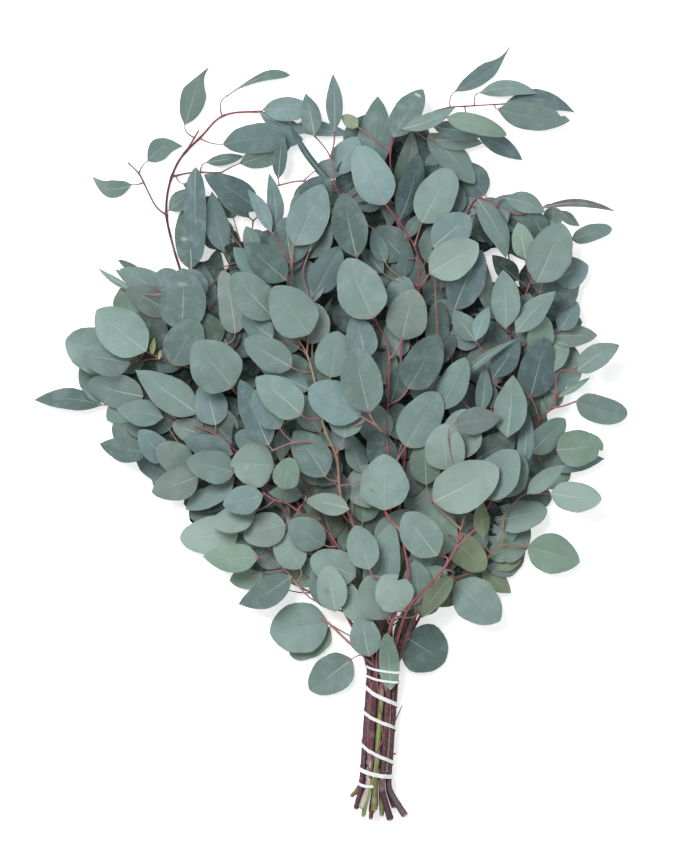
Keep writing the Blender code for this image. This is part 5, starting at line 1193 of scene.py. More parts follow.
def fine_blade(leaf, rows, columns, thickness, wave):
    """Points of a blade's top and underside, with its places along and across."""
    rng = random.Random(leaf["seed"])
    mark = BLEMISHES.get(named_place(leaf), {})
    even = np.linspace(0.0, 1.0, rows + 1)
    x = 0.55 * (0.5 - 0.5 * np.cos(math.pi * even)) + 0.45 * even
    step = np.linspace(-1.0, 1.0, columns + 1)
    y = np.sign(step) * np.abs(step) ** 1.2
    x, y = np.meshgrid(x, y, indexing="ij")
    wide = leaf["half"] * mark.get("half", 1.0)
    blunt = rng.uniform(0.0, 0.17) if leaf["half"] > 9.0 else 0.0
    wide = wide * outline_width(x, mark.get("p", leaf["p"]), mark.get("q", leaf["q"] - blunt))
    wide = wide * (1 - 0.45 * np.exp(-(x / 0.075) ** 1.5))
    wide = wide * (1 - 0.25 * np.exp(-((1 - x) / 0.05) ** 1.5))
    wide = np.maximum(wide, np.where(x < 0.5, 0.7, 0.15))
    side = np.where(y < 0, 0, 1)
    turns = [rng.uniform(1.3, 2.6) for _ in range(2)]
    starts = [rng.uniform(0, 6.28) for _ in range(2)]
    fine = [rng.uniform(0, 6.28) for _ in range(2)]
    swing = np.sin(2 * math.pi * np.choose(side, turns) * x + np.choose(side, starts))
    ripple = np.sin(2 * math.pi * 7.3 * x + np.choose(side, fine))
    wide = wide * (1 - 0.022 + 0.022 * swing + 0.008 * ripple)
    wide = wide * (1 - mark.get("thin", 0.0) * np.clip((x - 0.55) / 0.3, 0, 1) * (x < 0.995))
    if "tear" in mark:
        where, which, depth, spread = mark["tear"]
        gap = np.clip(1 - np.abs(x - where) / spread, 0, 1)
        wide = wide * np.where(np.sign(y) == which, 1 - depth * gap, 1.0)
    s = x * leaf["length"] * mark.get("long", 1.0)
    t = y * wide
    leaf["z"] += mark.get("lift", 0.0)
    z = blade_height(leaf, s, t)
    size = leaf["half"] / 18.0
    edge = np.abs(y) ** 2.4
    z = z + wave * size * edge * swing * np.sin(math.pi * x) ** 0.5
    z = z + 0.25 * wave * size * edge * ripple
    fold = mark.get("fold", rng.uniform(-0.05, 0.14))
    z = z + fold * (np.abs(t) - leaf["half"] * 0.5)
    z = z + rng.uniform(-0.6, 0.6) * size * np.clip((x - 0.75) / 0.25, 0, 1) ** 2
    z = z + mark.get("tip", 0.0) * np.clip((x - 0.7) / 0.3, 0, 1) ** 2
    z = z + mark.get("curl", 0.0) * edge
    z = z + mark.get("ramp", 0.0) * np.clip((x - 0.42) / 0.58, 0, 1) ** 1.4
    slim = leaf["length"] / (2 * leaf["half"])
    bend = mark.get("bend", rng.uniform(-0.012, 0.012) * min(slim, 3.0) ** 1.5)
    lean = 4 * bend * leaf["length"] * x * (1 - x)
    lean = lean + mark.get("sweep", 0.0) * np.clip((x - 0.6) / 0.4, 0, 1) ** 2
    groove = np.exp(-(t / 0.7) ** 2) * np.clip(1.15 - x, 0, 1)
    phase = (s - VEIN_SLANT * np.abs(t)) / VEIN_PITCH
    net = np.cos(2 * math.pi * phase) * np.clip(1 - edge, 0, 1)
    half = thickness / 2 * (0.55 + 0.45 * (1 - edge))
    top = z + half - 0.24 * groove - 0.01 * net
    under = z - half - 0.4 * groove - 0.01 * net
    bx, by = leaf["base"]
    ux, uy = leaf["along"]
    px = bx + ux * s - uy * (t + lean)
    py = by + uy * s + ux * (t + lean)
    return x, y, s, t, px, py, top, under


def blade_faces(rows, columns):
    """Quads of the top, the underside and the rim of a blade's grid."""
    index = np.arange((rows + 1) * (columns + 1)).reshape(rows + 1, columns + 1)
    top_faces = stacked(index[:-1, :-1], index[1:, :-1], index[1:, 1:], index[:-1, 1:])
    under = index.size
    under_faces = top_faces[:, ::-1] + under
    rim = np.concatenate([index[:, 0], index[-1, 1:], index[-2::-1, -1], index[0, -2:0:-1]])
    following = np.roll(rim, -1)
    rim_faces = stacked(following, rim, rim + under, following + under)
    return [top_faces, under_faces, rim_faces]


def outline_distance(x, y):
    """How far a place is from the outline of the bunch, less than 0 outside it."""
    corners = np.array(OUTLINE, dtype=float)
    side = np.roll(corners, -1, axis=0) - corners
    off = np.array([x, y]) - corners
    share = np.clip((off * side).sum(1) / (side ** 2).sum(1), 0.0, 1.0)
    far = np.linalg.norm(off - side * share[:, None], axis=1).min()
    return far if inside(x, y, OUTLINE) else -far


def leaf_letter(leaf):
    """Colour letter of a leaf: its own where one is written, else bluer up the bunch."""
    for letter, places in LEAF_TONES.items():
        if named_place(leaf) in places:
            return letter
    y = leaf["base"][1]
    kinds = "bbdmmkwb" if y > 90 else "mmbdgmwb" if y > -60 else "mgmlowg"
    return random.Random(leaf["seed"] + 5).choice(kinds)


def add_leaf(piece, leaf, letter, deep, twig, settings, grid):
    """One leaf blade with its colours: base, rim, underside, and painted shade for its depth in the pile.
    """
    rng = random.Random(leaf["seed"] + 1)
    x, y, s, t, px, py, top, under = fine_blade(leaf, *grid, settings.thickness * 1000,
                                                settings.edge_wave * 1000)
    gain = rng.uniform(0.9, 1.1)
    colour = np.array(hex_colour(LEAF_COLOURS[letter])[:3]) * gain
    colour = towards(colour, hex_colour(DEEP_SHADE), deep)
    shade = 1 + 0.07 * np.sin(2.1 * x + rng.uniform(0, 6)) * np.cos(1.6 * y + rng.uniform(0, 6))
    upper = colour * shade.reshape(-1, 1)
    upper = towards(upper, twig, (0.45 * np.clip(1 - x / 0.09, 0, 1)).reshape(-1, 1))
    mark = BLEMISHES.get(named_place(leaf), {})
    if "scar" in mark:
        sx, sy, rx, ry, code = mark["scar"]
        ragged = 0.6 + 0.8 * np.abs(np.sin(23.0 * x + 9.0 * y))
        blot = np.clip(1.3 - ((x - sx) / rx) ** 2 - ((y - sy) / ry) ** 2 * ragged, 0, 1) * 0.65
        upper = towards(upper, hex_colour(code), blot.reshape(-1, 1))
    strength = 0.3 if rng.random() < 0.12 else 0.06
    rim = np.clip((np.abs(y) - 0.93) / 0.07, 0, 1) * strength
    upper = towards(upper, hex_colour(RIM_RED), rim.reshape(-1, 1))
    pale = towards(np.array(hex_colour(UNDERSIDE)[:3]) * gain, hex_colour(DEEP_SHADE), deep)
    tint = np.concatenate([upper, 0.6 * pale + 0.4 * upper])
    tint = np.column_stack([tint, np.ones(len(tint))])
    place = stacked(s, t, np.full(s.size, (leaf["seed"] % 1000) * 1.7))
    pale_rib = rng.choice((0.16, 0.24, 0.34, 0.44, 0.56)) * (1 - deep)
    share = stacked(x, y, np.full(s.size, pale_rib))
    # a leaf with more than 0.6 painted shade gets the dull lower-leaf material
    piece.add(np.concatenate([stacked(px, py, top), stacked(px, py, under)]), blade_faces(*grid),
              4 if deep > 0.6 else 0, tint, np.concatenate([place, place]),
              np.concatenate([share, share]))


def tube(points, sizes, sides, slant=0.0):
    """Rings of a tube through the points, its quads, and the distance along at each point."""
    ahead = np.vstack([points[1:], points[-1:]]) - np.vstack([points[:1], points[:-1]])
    ahead = ahead / (np.linalg.norm(ahead, axis=1)[:, None] + 1e-9)
    up = np.where(np.abs(ahead[:, 2:3]) > 0.85, np.array([[0.6, 0.8, 0.0]]),
                  np.array([[0.0, 0.0, 1.0]]))
    across = np.cross(ahead, up)
    across = across / (np.linalg.norm(across, axis=1)[:, None] + 1e-9)
    lift = np.cross(across, ahead)
    angle = 2 * math.pi * (np.arange(sides) + 0.5) / sides - math.pi / 2
    ring = (across[:, None, :] * np.cos(angle)[None, :, None]
            + lift[:, None, :] * np.sin(angle)[None, :, None])
    out = points[:, None, :] + ring * sizes[:, None, None]
    if slant:
        out[0] += ahead[0][None, :] * (np.sin(angle)[:, None] + 1) * sizes[0] * slant
    return out.reshape(-1, 3), ring_quads(len(points), sides), run_length(points), angle


def ring_quads(rings, sides):
    """Quads between rings of points, each ring after the one before."""
    index = np.arange(rings * sides).reshape(rings, sides)
    following = np.roll(index, -1, axis=1)
    return stacked(index[:-1], following[:-1], following[1:], index[1:])


def blended(first, last, count):
    """Colours from one to another, one for each point of a rod."""
    return towards(np.array(first[:3]), last, np.linspace(0.0, 1.0, count)[:, None])


def bark_along(stops, points):
    """Bark colour at each point of a stem, from the stops up the bunch."""
    heights = [y for y, _ in stops]
    shades = np.array([hex_colour(code)[:3] for _, code in stops])
    return np.stack([np.interp(points[:, 1], heights, shades[:, k]) for k in range(3)], 1)


def add_rod(piece, points, sizes, sides, slot, colours, seed, slant=0.0, cut=False, pressed=None):
    """One stem, twig or stalk, with a colour for each of its points.

    Where it is pressed between others, its sides and underside are darkened with painted shade.
    """
    body, quads, run, angle = tube(points, sizes, sides, slant)
    rows = len(points)
    share = run / max(run[-1], 1e-6)
    tint = np.repeat(colours, sides, axis=0)
    if pressed is not None:
        # painted shade: the sides and underside darken, the top stays light
        flank = 1 - np.clip(np.sin(angle), 0.0, 1.0) ** 1.5
        painted_shade = 0.92 * np.repeat(pressed, sides) * np.tile(flank, rows)
        tint = tint * (1 - painted_shade)[:, None]
    tint = np.column_stack([tint, np.ones(len(tint))])
    place = stacked(np.repeat(run, sides), np.tile(np.cos(angle), rows) * 2.0,
                    np.tile(np.sin(angle), rows) * 2.0 + (seed % 97) * 3.1)
    shares = stacked(np.repeat(share, sides), np.tile(angle, rows), np.zeros(rows * sides))
    ends = [np.arange((rows - 1) * sides, rows * sides)[None, :]]
    if not cut:
        ends.append(np.arange(sides)[::-1][None, :])
    piece.add(body, [quads] + ends, slot, tint, place, shares)
    if cut:
        outer = body[:sides]
        centre = outer.mean(axis=0)
        rings = [outer, centre + (outer - centre) * 0.82, centre + (outer - centre) * 0.4]
        cap = np.concatenate(rings + [centre[None, :]])
        radius = np.concatenate([np.full(sides, sizes[0] * k) for k in (1.0, 0.82, 0.4)] + [[0.0]])
        faces = ring_quads(3, sides)[:, ::-1]
        innermost = np.arange(2 * sides, 3 * sides)
        middle = stacked(np.full(sides, 3 * sides), np.roll(innermost, -1), innermost)
        pale = np.tile(np.array([*colours[0], 1.0]), (len(cap), 1))
        where = stacked(radius, cap[:, 0], cap[:, 2])
        piece.add(cap, [faces, middle], 3, pale, where, np.zeros((len(cap), 3)))


def swollen(points, sizes, roots, reach=3.0, gain=0.36):
    """Rod sizes with a swelling at each place where something grows from it."""
    swelling = np.zeros(len(points))
    for root in roots:
        near = np.linalg.norm(points - root[None, :], axis=1)
        swelling = np.maximum(swelling, np.exp(-(near / reach) ** 2))
    return sizes * (1 + gain * swelling)


def refined(points, sizes, step=1.6, passes=2):
    """A rod's points and sizes at even, shorter steps along a smooth line."""
    points = np.array(points, dtype=float)
    run = run_length(points)
    count = max(3, int(run[-1] / step) + 1)
    at = np.linspace(0.0, run[-1], count)
    keep = np.concatenate([[True], np.diff(run) > 1e-6])
    out = np.stack([np.interp(at, run[keep], points[keep, k]) for k in range(3)], 1)
    return smoothed(out, passes), np.interp(at, run[keep], np.array(sizes, dtype=float)[keep])


def thinned(points, sizes, kind, hidden, stout):
    """A rod's sizes as fine as the real wood, full only where the stems are tied."""
    if kind == "twig":
        return sizes * 0.68
    if hidden:
        share = np.linspace(0.0, 1.0, len(sizes))
        sizes = sizes * np.interp(share, [0.0, 0.6, 1.0], [1.0, 0.8, 0.3])
    free = np.clip((points[:, 1] + 190.0) / 36.0, 0.0, 1.0)
    return sizes * (1.06 - (0.34 if stout else 0.56) * free)


def curved_stalk(leaf):
    """A stalk in one curve that arrives along the blade, at the heights it was laid at."""
    laid = leaf["stalk"]
    share = np.linspace(0.0, 1.0, 12)
    heights = np.interp(share, np.linspace(0.0, 1.0, len(laid)), laid[:, 2])
    root, end = laid[0, :2], laid[-1, :2]
    reach = min(0.5 * math.hypot(*(end - root)), 9.0)
    bend = end - np.array(leaf["along"]) * reach
    t = share[:, None]
    plan = (1 - t) ** 2 * root + 2 * t * (1 - t) * bend + t ** 2 * end
    return np.column_stack([plan, heights])


def pressed_share(points, top_y):
    """How much painted shade a rod gets where it is pressed between others: all of it well inside the
    tie.
    """
    return np.clip((top_y - points[:, 1]) / 12.0, 0.0, 1.0)


def shade_of(leaf, hidden, under, hidden_shade):
    """How much painted shade a leaf gets: its layer's share, less where it reaches the outline of the
    bunch.
    """
    deep = leaf.get("fill") or (hidden_shade if hidden else UNDER_SHADE if under else 0.0)
    if deep > UNDER_SHADE:
        base, along = np.array(leaf["base"]), np.array(leaf["along"])
        tip = base + along * leaf["length"]
        side = np.array([-along[1], along[0]]) * leaf["half"]
        middle = (tip + base) / 2
        far = min(outline_distance(*p) for p in (tip, middle + side, middle - side))
        deep *= min(max((far + 2.0) / 16.0, 0.2), 1.0)
    return deep


def add_wood(piece, record, number, bark, twig, wood_set):
    """The woody stem and twigs of a leafy stem, uneven and swollen where something grows."""
    hidden = record["hidden"]
    roots = [leaf["stalk"][0] for leaf in record["leaves"]]
    roots += [rod["points"][0] for rod in record["rods"][1:]]
    for k, rod in enumerate(record["rods"]):
        rng = random.Random(700 * number + k)
        points, sizes = refined(rod["points"], rod["sizes"])
        if rod["kind"] == "stem":
            tied = int(np.searchsorted(points[:, 1], -225.0))
            smoothed(points[:tied + 1], 12)
        wobble = smoothed(np.array([rng.uniform(-1, 1) for _ in range(len(points))]), 3)
        if hidden:
            points, sizes, wobble = points[:-6], sizes[:-6], wobble[:-6]
        stout = record["name"] == "leafy_stem_04"
        sizes = thinned(points, sizes * (1 + 0.1 * wobble), rod["kind"], hidden, stout)
        sizes = swollen(points, sizes, roots)
        if rod["kind"] == "stem":
            add_rod(piece, points, sizes, wood_set.stem_sides, 1, bark_along(bark, points),
                    31 * number, slant=rng.uniform(0.5, 1.5), cut=True,
                    pressed=pressed_share(points, LEAVES_FROM))
        else:
            tone = mixed(twig, hex_colour(STRAW), rng.choice((0.0, 0.0, 0.1, 0.25, 0.5)))
            add_rod(piece, points, sizes, 8, 2, blended(tone, twig, len(points)), 57 * k + number)


def make_leafy_stem(record, number, seen, materials, leaves_set, wood_set):
    """One leafy stem: woody stem, twigs, leaf stalks and leaves in one piece."""
    name, hidden = record["name"], record["hidden"]
    piece = PieceMesh()
    skin, bark = STEM_COLOURS.get(name, (PLAIN_TWIG, PLAIN_BARK))
    twig = mixed(hex_colour(skin), hex_colour(PLAIN_TWIG), 0.25)
    add_wood(piece, record, number, bark, twig, wood_set)
    under_count = len(STEMS[number].get("under", []))
    for k, leaf in enumerate(record["leaves"]):
        rng = random.Random(leaf["seed"] + 3)
        deep = shade_of(leaf, hidden, k < under_count, leaves_set.hidden_shade)
        dim = hidden or leaf.get("fill")
        grid = SMALL_GRID if leaf["half"] < 6 or dim else (leaves_set.rows, leaves_set.columns)
        pale = mixed(twig, hex_colour(PALE_STALK), rng.uniform(0.1, 0.6))
        add_leaf(piece, leaf, leaf_letter(leaf), deep, pale, leaves_set, grid)
        tail_end = leaf["stalk"][-1] + np.array([*leaf["along"], leaf["rise"]]) * 2.5
        stalk = leaf["stalk"] if dim else curved_stalk(leaf)
        line = np.vstack([stalk, tail_end - np.array([0.0, 0.0, 0.3])])
        points, sizes = refined(line, np.linspace(*STALK_SIZES, len(line)), 1.4)
        add_rod(piece, points, sizes, 7, 2, blended(twig, pale, len(points)), 11 * k + number)
    add_shoots(piece, name, seen)
    # dark rods in the slits between the tied stems, painted shade for the gaps
    if name in SLIT_SHADE_RODS:
        x = SLIT_SHADE_RODS[name]
        line = [(39 + (x - 48) * 0.45, -268.0, 10.0), (43 + (x - 48) * 0.55, -186.0, 11.0),
                (x, -158.0, 16.0)]
        points, sizes = refined(line, [2.4, 2.6, 2.2], 3.0, 6)
        brown = hex_colour(SLIT_SHADE_COLOUR)
        add_rod(piece, points, sizes, 8, 2, blended(brown, brown, len(points)), number)
    add_tucked(piece, name, leaves_set)
    for start, end, r0, r1 in SNAGS.get(name, []):
        points, sizes = refined([end, start], [r1, r0], 1.0)
        add_rod(piece, points, sizes, 8, 1, bark_along(bark, points), 5, slant=0.5, cut=True)
    return piece.make(name + "_fine", materials)


# Broken side shoots on the bare stems: start, end and two radii
SNAGS = {
    "leafy_stem_16": [((50.0, -233.0, 19.4), (57.5, -216.4, 24.5), 0.6, 0.35),
                      ((48.6, -256.0, 20.0), (52.6, -255.2, 22.2), 0.9, 0.7)],
}

# Side shoots pressed along the bundle or leaving it, over the stems: the places they pass,
# their radius and their colours up the bunch
SHOOTS = {
    "leafy_stem_14": [
        ([(44.6, -271), (46.8, -244), (47.6, -212), (40.5, -191.6), (33.3, -183.4), (23.1, -174.2),
        (9.8, -162), (-0.4, -151.8), (-8, -146)], 1.4, [(-271, "#8A6E60"), (-146, "#B28E80")]),
        ([(26.6, -271), (28.1, -240), (31.1, -210), (30.1, -190), (27, -176)], 1.5,
        [(-271, "#5A2340"), (-176, "#7A3A4C")]),
        ([(31.3, -275.3), (30.2, -243.7), (33.3, -207.9), (30.2, -187.5), (26, -172)], 1.3,
        [(-275, "#6E2C42"), (-172, "#8A4256")])],
    "leafy_stem_15": [
        ([(26.2, -306), (34.3, -275.3), (36.4, -259), (39.4, -233.5), (39.8, -214)], 0.95,
        [(-306, "#93A35C"), (-214, "#A3B566")]),
        ([(31.3, -276), (34.3, -259), (42.5, -243.7), (40.5, -228.4), (38.4, -207.9), (36.4, -189.5),
        (37.5, -170)], 0.9, [(-276, "#7E3148"), (-170, "#A8606E")]),
        ([(47.4, -190), (46.1, -160.9), (47.6, -151.8), (56.8, -144.6), (71.1, -131.3), (84.4, -117),
        (102.9, -83), (112, -76)], 0.85, [(-190, "#8E5A58"), (-150, "#B89E7E"), (-76, "#B08078")])],
    "leafy_stem_16": [
        ([(52.2, -200), (52.6, -187.5), (53.9, -177.3), (57.0, -164), (60.6, -149.7), (59.4, -139.5)],
        1.0, [(-200, "#73405A"), (-139, "#96627A")]),
        ([(51.2, -198), (52.0, -186.5), (54.9, -173.2), (61.2, -158.9), (68, -140.5), (74, -128)], 0.8,
        [(-198, "#96605F"), (-128, "#BC9C92")]),
        ([(42.0, -271), (43.5, -233.5), (45.6, -207.9), (43.5, -193.6), (45, -176)], 1.3,
        [(-271, "#502036"), (-176, "#7E3A50")]),
        ([(47.0, -270), (49.0, -236), (50.0, -206), (49.4, -188), (50.0, -176)], 1.3,
        [(-270, "#4A1C32"), (-176, "#6E2F44")])],
    "leafy_stem_09": [
        ([(30.4, -271), (29.6, -238), (32.6, -206), (35.0, -188), (33.0, -176)], 1.1,
        [(-271, "#7A3A50"), (-176, "#96505F")])],
}

# Dark rods that fill the slits between the tied stems with painted shade: x where they end
SLIT_SHADE_RODS = {"leafy_stem_10": 36, "leafy_stem_15": 42, "leafy_stem_12": 48,
               "leafy_stem_13": 54, "leafy_stem_16": 60}
SLIT_SHADE_COLOUR = "#33191F"

# Leaves tucked under the elastic: base, tip, half width, height and fall to the side
TUCKED = {"leafy_stem_16": [((48.0, -204.0), (44.8, -158.0), 8.5, 22.7, 0.05)],
          "leafy_stem_12": [((38.0, -178.0), (41.0, -132.0), 10.0, 8.0, 0.0)],
          "leafy_stem_13": [((54.0, -172.0), (66.0, -134.0), 8.0, 9.0, 0.0)]}


def bundle_top(x, y):
    """Height of the top of the tied stems under a plan point."""
    dx, dy = TIE_RUN
    f = (y - TIE_FOOT[1]) / dy
    u = abs((x - TIE_FOOT[0] - f * dx) * -dy / math.hypot(dx, dy)) / SLOT_PITCH
    row = FIRST_ROW_HEIGHT + 3 * SLOT_PITCH
    return STEM_RADIUS + float(np.interp(u, [1.0, 2.0, 2.6], [row, row - SLOT_PITCH,
                                                             row - 2 * SLOT_PITCH]))


def add_shoots(piece, name, seen):
    """The side shoots of one stem, laid on the bundle and on the leaves beyond it."""
    for k, (line, radius, stops) in enumerate(SHOOTS.get(name, [])):
        xy, _ = refined(np.array([(x, y, 0.0) for x, y in line]), np.ones(len(line)), 2.0)
        rng = random.Random(60 + k)
        heights = []
        for x, y, _ in xy:
            low = bundle_top(x, y) - radius + 0.7
            free = min(max((y + 184.0) / 20.0, 0.0), 1.0)
            i = int((x + seen.WIDE) / CELL)
            j = int((y + seen.LONG) / CELL)
            leaf = seen.height[i - 1:i + 2, j - 1:j + 2].max() + radius + 0.4
            heights.append(low if free == 0 else low + (max(leaf, low) - low) * free)
        points = np.column_stack([xy[:, :2], smoothed(np.array(heights), 12)])
        bumps = np.array([1 + 0.12 * rng.uniform(-1, 1) for _ in range(len(points))])
        sizes = radius * bumps * np.linspace(1.0, 0.7, len(points))
        # the shoots get painted shade where they lie pressed in the tie
        add_rod(piece, points, sizes, 8, 2, bark_along(stops, points), 40 + k, slant=0.6,
                cut=True, pressed=0.7 * pressed_share(points, -172.0))


def tucked_leaf(base, tip, half, height, roll):
    """A leaf that the elastic holds against the stems."""
    length, along = heading(base, tip)
    return dict(base=base, along=along, length=length, half=half, p=0.85, q=0.6, z=height,
                rise=0.02, roll=roll, arch=0.2, cup=-1.2, seed=4711)


def add_tucked(piece, name, settings):
    """Leaves that the elastic holds against the stems."""
    for spec in TUCKED.get(name, []):
        leaf = tucked_leaf(*spec)
        # a tucked leaf lying low behind the others is darkened with painted shade
        behind = leaf["z"] < 20.0
        add_leaf(piece, leaf, "g", 0.6 if behind else 0.0, hex_colour(PALE_STALK), settings,
                 (settings.rows, settings.columns))


def rounded_ring(reach):
    """Smooth outline of the tied stems: (across, height, out across, out up) all the way round."""
    corners = []
    for row, count in enumerate(ROW_COUNTS):
        half = (count - 1) / 2 * SLOT_PITCH
        corners.append((half, FIRST_ROW_HEIGHT + row * SLOT_PITCH))
    hull = corners + [(-x, z) for x, z in reversed(corners)]
    ring = []
    for i, here in enumerate(hull):
        before, after = hull[i - 1], hull[(i + 1) % len(hull)]
        a0 = math.atan2(here[1] - before[1], here[0] - before[0]) - math.pi / 2
        a1 = math.atan2(after[1] - here[1], after[0] - here[0]) - math.pi / 2
        while a1 < a0:
            a1 += 2 * math.pi
        steps = max(1, int((a1 - a0) / 0.22))
        for k in range(steps + 1):
            angle = a0 + (a1 - a0) * k / steps
            ring.append((here[0] + reach * math.cos(angle), here[1] + reach * math.sin(angle),
                         math.cos(angle), math.sin(angle)))
    even = []
    for here, after in zip(ring, ring[1:] + ring[:1]):
        steps = max(1, int(math.hypot(after[0] - here[0], after[1] - here[1]) / 1.2))
        for k in range(steps):
            even.append(tuple(a + (b - a) * k / steps for a, b in zip(here, after)))
    return even


# Where the elastic crosses the front: y at the left and right edge, and its width there.
# Between two stems it sags, and its tail ends lower down and narrower.
BANDS = [(-186.4, -189.2, 1.9), (-193.8, -197.0, 1.9), (-202.6, -215.6, 3.3),
         (-222.6, -234.0, 2.9), (-248.4, -262.0, 2.9), (-268.6, -273.2, 3.3)]
BAND_SAG = 1.5
TAIL_DROP, TAIL_WIDTH = 6.5, 2.4


def height_over(leaf, x, y):
    """Height just over a leaf at a place, or None beside it."""
    s, t = place_on(leaf, x, y)
    if not 0 < s < leaf["length"]:
        return None
    if abs(t) > leaf["half"] * outline_width(s / leaf["length"], leaf["p"], leaf["q"]) + 0.5:
        return None
    return float(blade_height(leaf, s, t)) + 0.3


def make_elastic(materials, settings):
    """The elastic: one braided ribbon wound down the bundle, with its tail tucked in."""
    ring = rounded_ring(STEM_RADIUS + 0.16)
    start = min(range(len(ring)), key=lambda i: (ring[i][0], -ring[i][1]))
    turn = [ring[(start - k) % len(ring)] for k in range(len(ring))]
    split = max(range(len(turn)), key=lambda k: (turn[k][0], turn[k][1]))
    reach = [0.0]
    for k in range(1, len(turn) + 1):
        a, b = turn[k - 1], turn[k % len(turn)]
        reach.append(reach[-1] + math.hypot(b[0] - a[0], b[1] - a[1]))
    stations = []
    for band, (left, right, width) in enumerate(BANDS):
        following, next_width = right - TAIL_DROP, TAIL_WIDTH
        if band < len(BANDS) - 1:
            following, _, next_width = BANDS[band + 1]
        for k, place in enumerate(turn):
            if k <= split:
                f = reach[k] / reach[split]
                sag = 4 * f * (1 - f) * BAND_SAG
                stations.append((place, left + (right - left) * f - sag, width))
            else:
                f = (reach[k] - reach[split]) / (reach[-1] - reach[split])
                stations.append((place, right + (following - right) * f,
                                 width + (next_width - width) * f))
    count = int(split * 0.5)
    for k in range(count):
        hang = 2.6 * math.sin(math.pi * 0.72 * k / count)
        stations.append((turn[k], BANDS[-1][1] - TAIL_DROP - hang, TAIL_WIDTH))
    _, (ux, uy) = heading(TIE_FOOT, TIE_TOP)
    axis, across = np.array([ux, uy, 0.0]), np.array([uy, -ux, 0.0])
    profile = [(-0.5, 0.12), (-0.46, 0.0), (0.46, 0.0), (0.5, 0.12), (0.5, 0.82), (0.42, 1.0),
               (0.16, 0.93), (-0.16, 0.93), (-0.42, 1.0), (-0.5, 0.82)]
    points, place = [], []
    held = tucked_leaf(*TUCKED["leafy_stem_16"][0])
    run, drift, previous = 0.0, 0.0, None
    rng = random.Random(77)
    for (u, z, out_x, out_z), y, width in stations:
        f = (y - TIE_FOOT[1]) / TIE_RUN[1]
        drift = 0.85 * drift + 0.15 * rng.uniform(-1, 1)
        centre = np.array([TIE_FOOT[0] + f * TIE_RUN[0], TIE_FOOT[1] + f * TIE_RUN[1], 0.0])
        centre = centre + across * u + np.array([0.0, 0.0, z]) + axis * drift * 0.8
        over = height_over(held, *centre[:2])
        if out_z > 0 and over is not None:
            centre[2] = max(centre[2], over)
        outward = across * out_x + np.array([0.0, 0.0, out_z])
        run += 0.0 if previous is None else float(np.linalg.norm(centre - previous))
        previous = centre
        for side, rise in profile:
            points.append(centre + axis * side * width
                          + outward * rise * settings.thickness * 1000)
            place.append((run, side * width, rise))
    index = np.arange(len(points)).reshape(-1, len(profile))
    following = np.roll(index, -1, axis=1)
    quads = stacked(index[:-1], index[1:], following[1:], following[:-1])
    piece = PieceMesh()
    white = np.tile(np.array(hex_colour("#F2F1EC")), (len(points), 1))
    piece.add(np.array(points), [quads, index[0][None, :], index[-1][None, ::-1]], 0, white,
              np.array(place), np.zeros((len(points), 3)))
    return piece.make("elastic_tie_fine", materials)


class BunchLeaves(bpy.types.PropertyGroup):
    """Leaf blades."""
    rows: bpy.props.IntProperty(
        name="Rows", description="Grid rows along a large blade", default=26, min=6, max=60)
    columns: bpy.props.IntProperty(
        name="Columns", description="Grid columns across a large blade", default=14, min=4, max=40)
    thickness: bpy.props.FloatProperty(
        name="Thickness", description="Blade thickness at the middle", default=0.0005,
        subtype="DISTANCE", unit="LENGTH")
    edge_wave: bpy.props.FloatProperty(
        name="Edge wave", description="How far a blade's margin rises and falls",
        default=0.0009, subtype="DISTANCE", unit="LENGTH")
    lower_count: bpy.props.IntProperty(
        name="Lower leaves", description="Leaves of the middle layers at most", default=150, min=0)
    deepest_count: bpy.props.IntProperty(
        name="Deepest leaves", description="Dark leaves of the hidden stems at most", default=80,
        min=0)
    closing_count: bpy.props.IntProperty(
        name="Closing leaves", description="Dark leaves over what is still open at most",
        default=260, min=0)
    # hidden_shade is the share of painted shade that darkens the hidden lower leaves
    hidden_shade: bpy.props.FloatProperty(
        name="Hidden shade", description="How dark the old lower leaves are", default=0.9,
        min=0.0, max=1.0, subtype="FACTOR")


class BunchWood(bpy.types.PropertyGroup):
    """Woody stems and twigs."""
    stem_sides: bpy.props.IntProperty(
        name="Stem sides", description="Sides of a woody stem", default=12, min=6, max=32)


class BunchElastic(bpy.types.PropertyGroup):
    """White elastic."""
    thickness: bpy.props.FloatProperty(
        name="Thickness", description="Thickness of the elastic", default=0.0009,
        subtype="DISTANCE", unit="LENGTH")


class BunchStage(bpy.types.PropertyGroup):
    """Table, lights and camera."""
    table_side: bpy.props.FloatProperty(
        name="Table side", description="Side of the white table top", default=6.0,
        subtype="DISTANCE", unit="LENGTH")
    key_power: bpy.props.FloatProperty(
        name="Key light", description="Power of the soft light above the top left", default=27.0,
        subtype="POWER", unit="POWER")
    sky: bpy.props.FloatProperty(
        name="Room light", description="Strength of the white room", default=0.52, min=0.0)
    lens: bpy.props.FloatProperty(
        name="Lens", description="Focal length of the camera in millimetres", default=300.0)


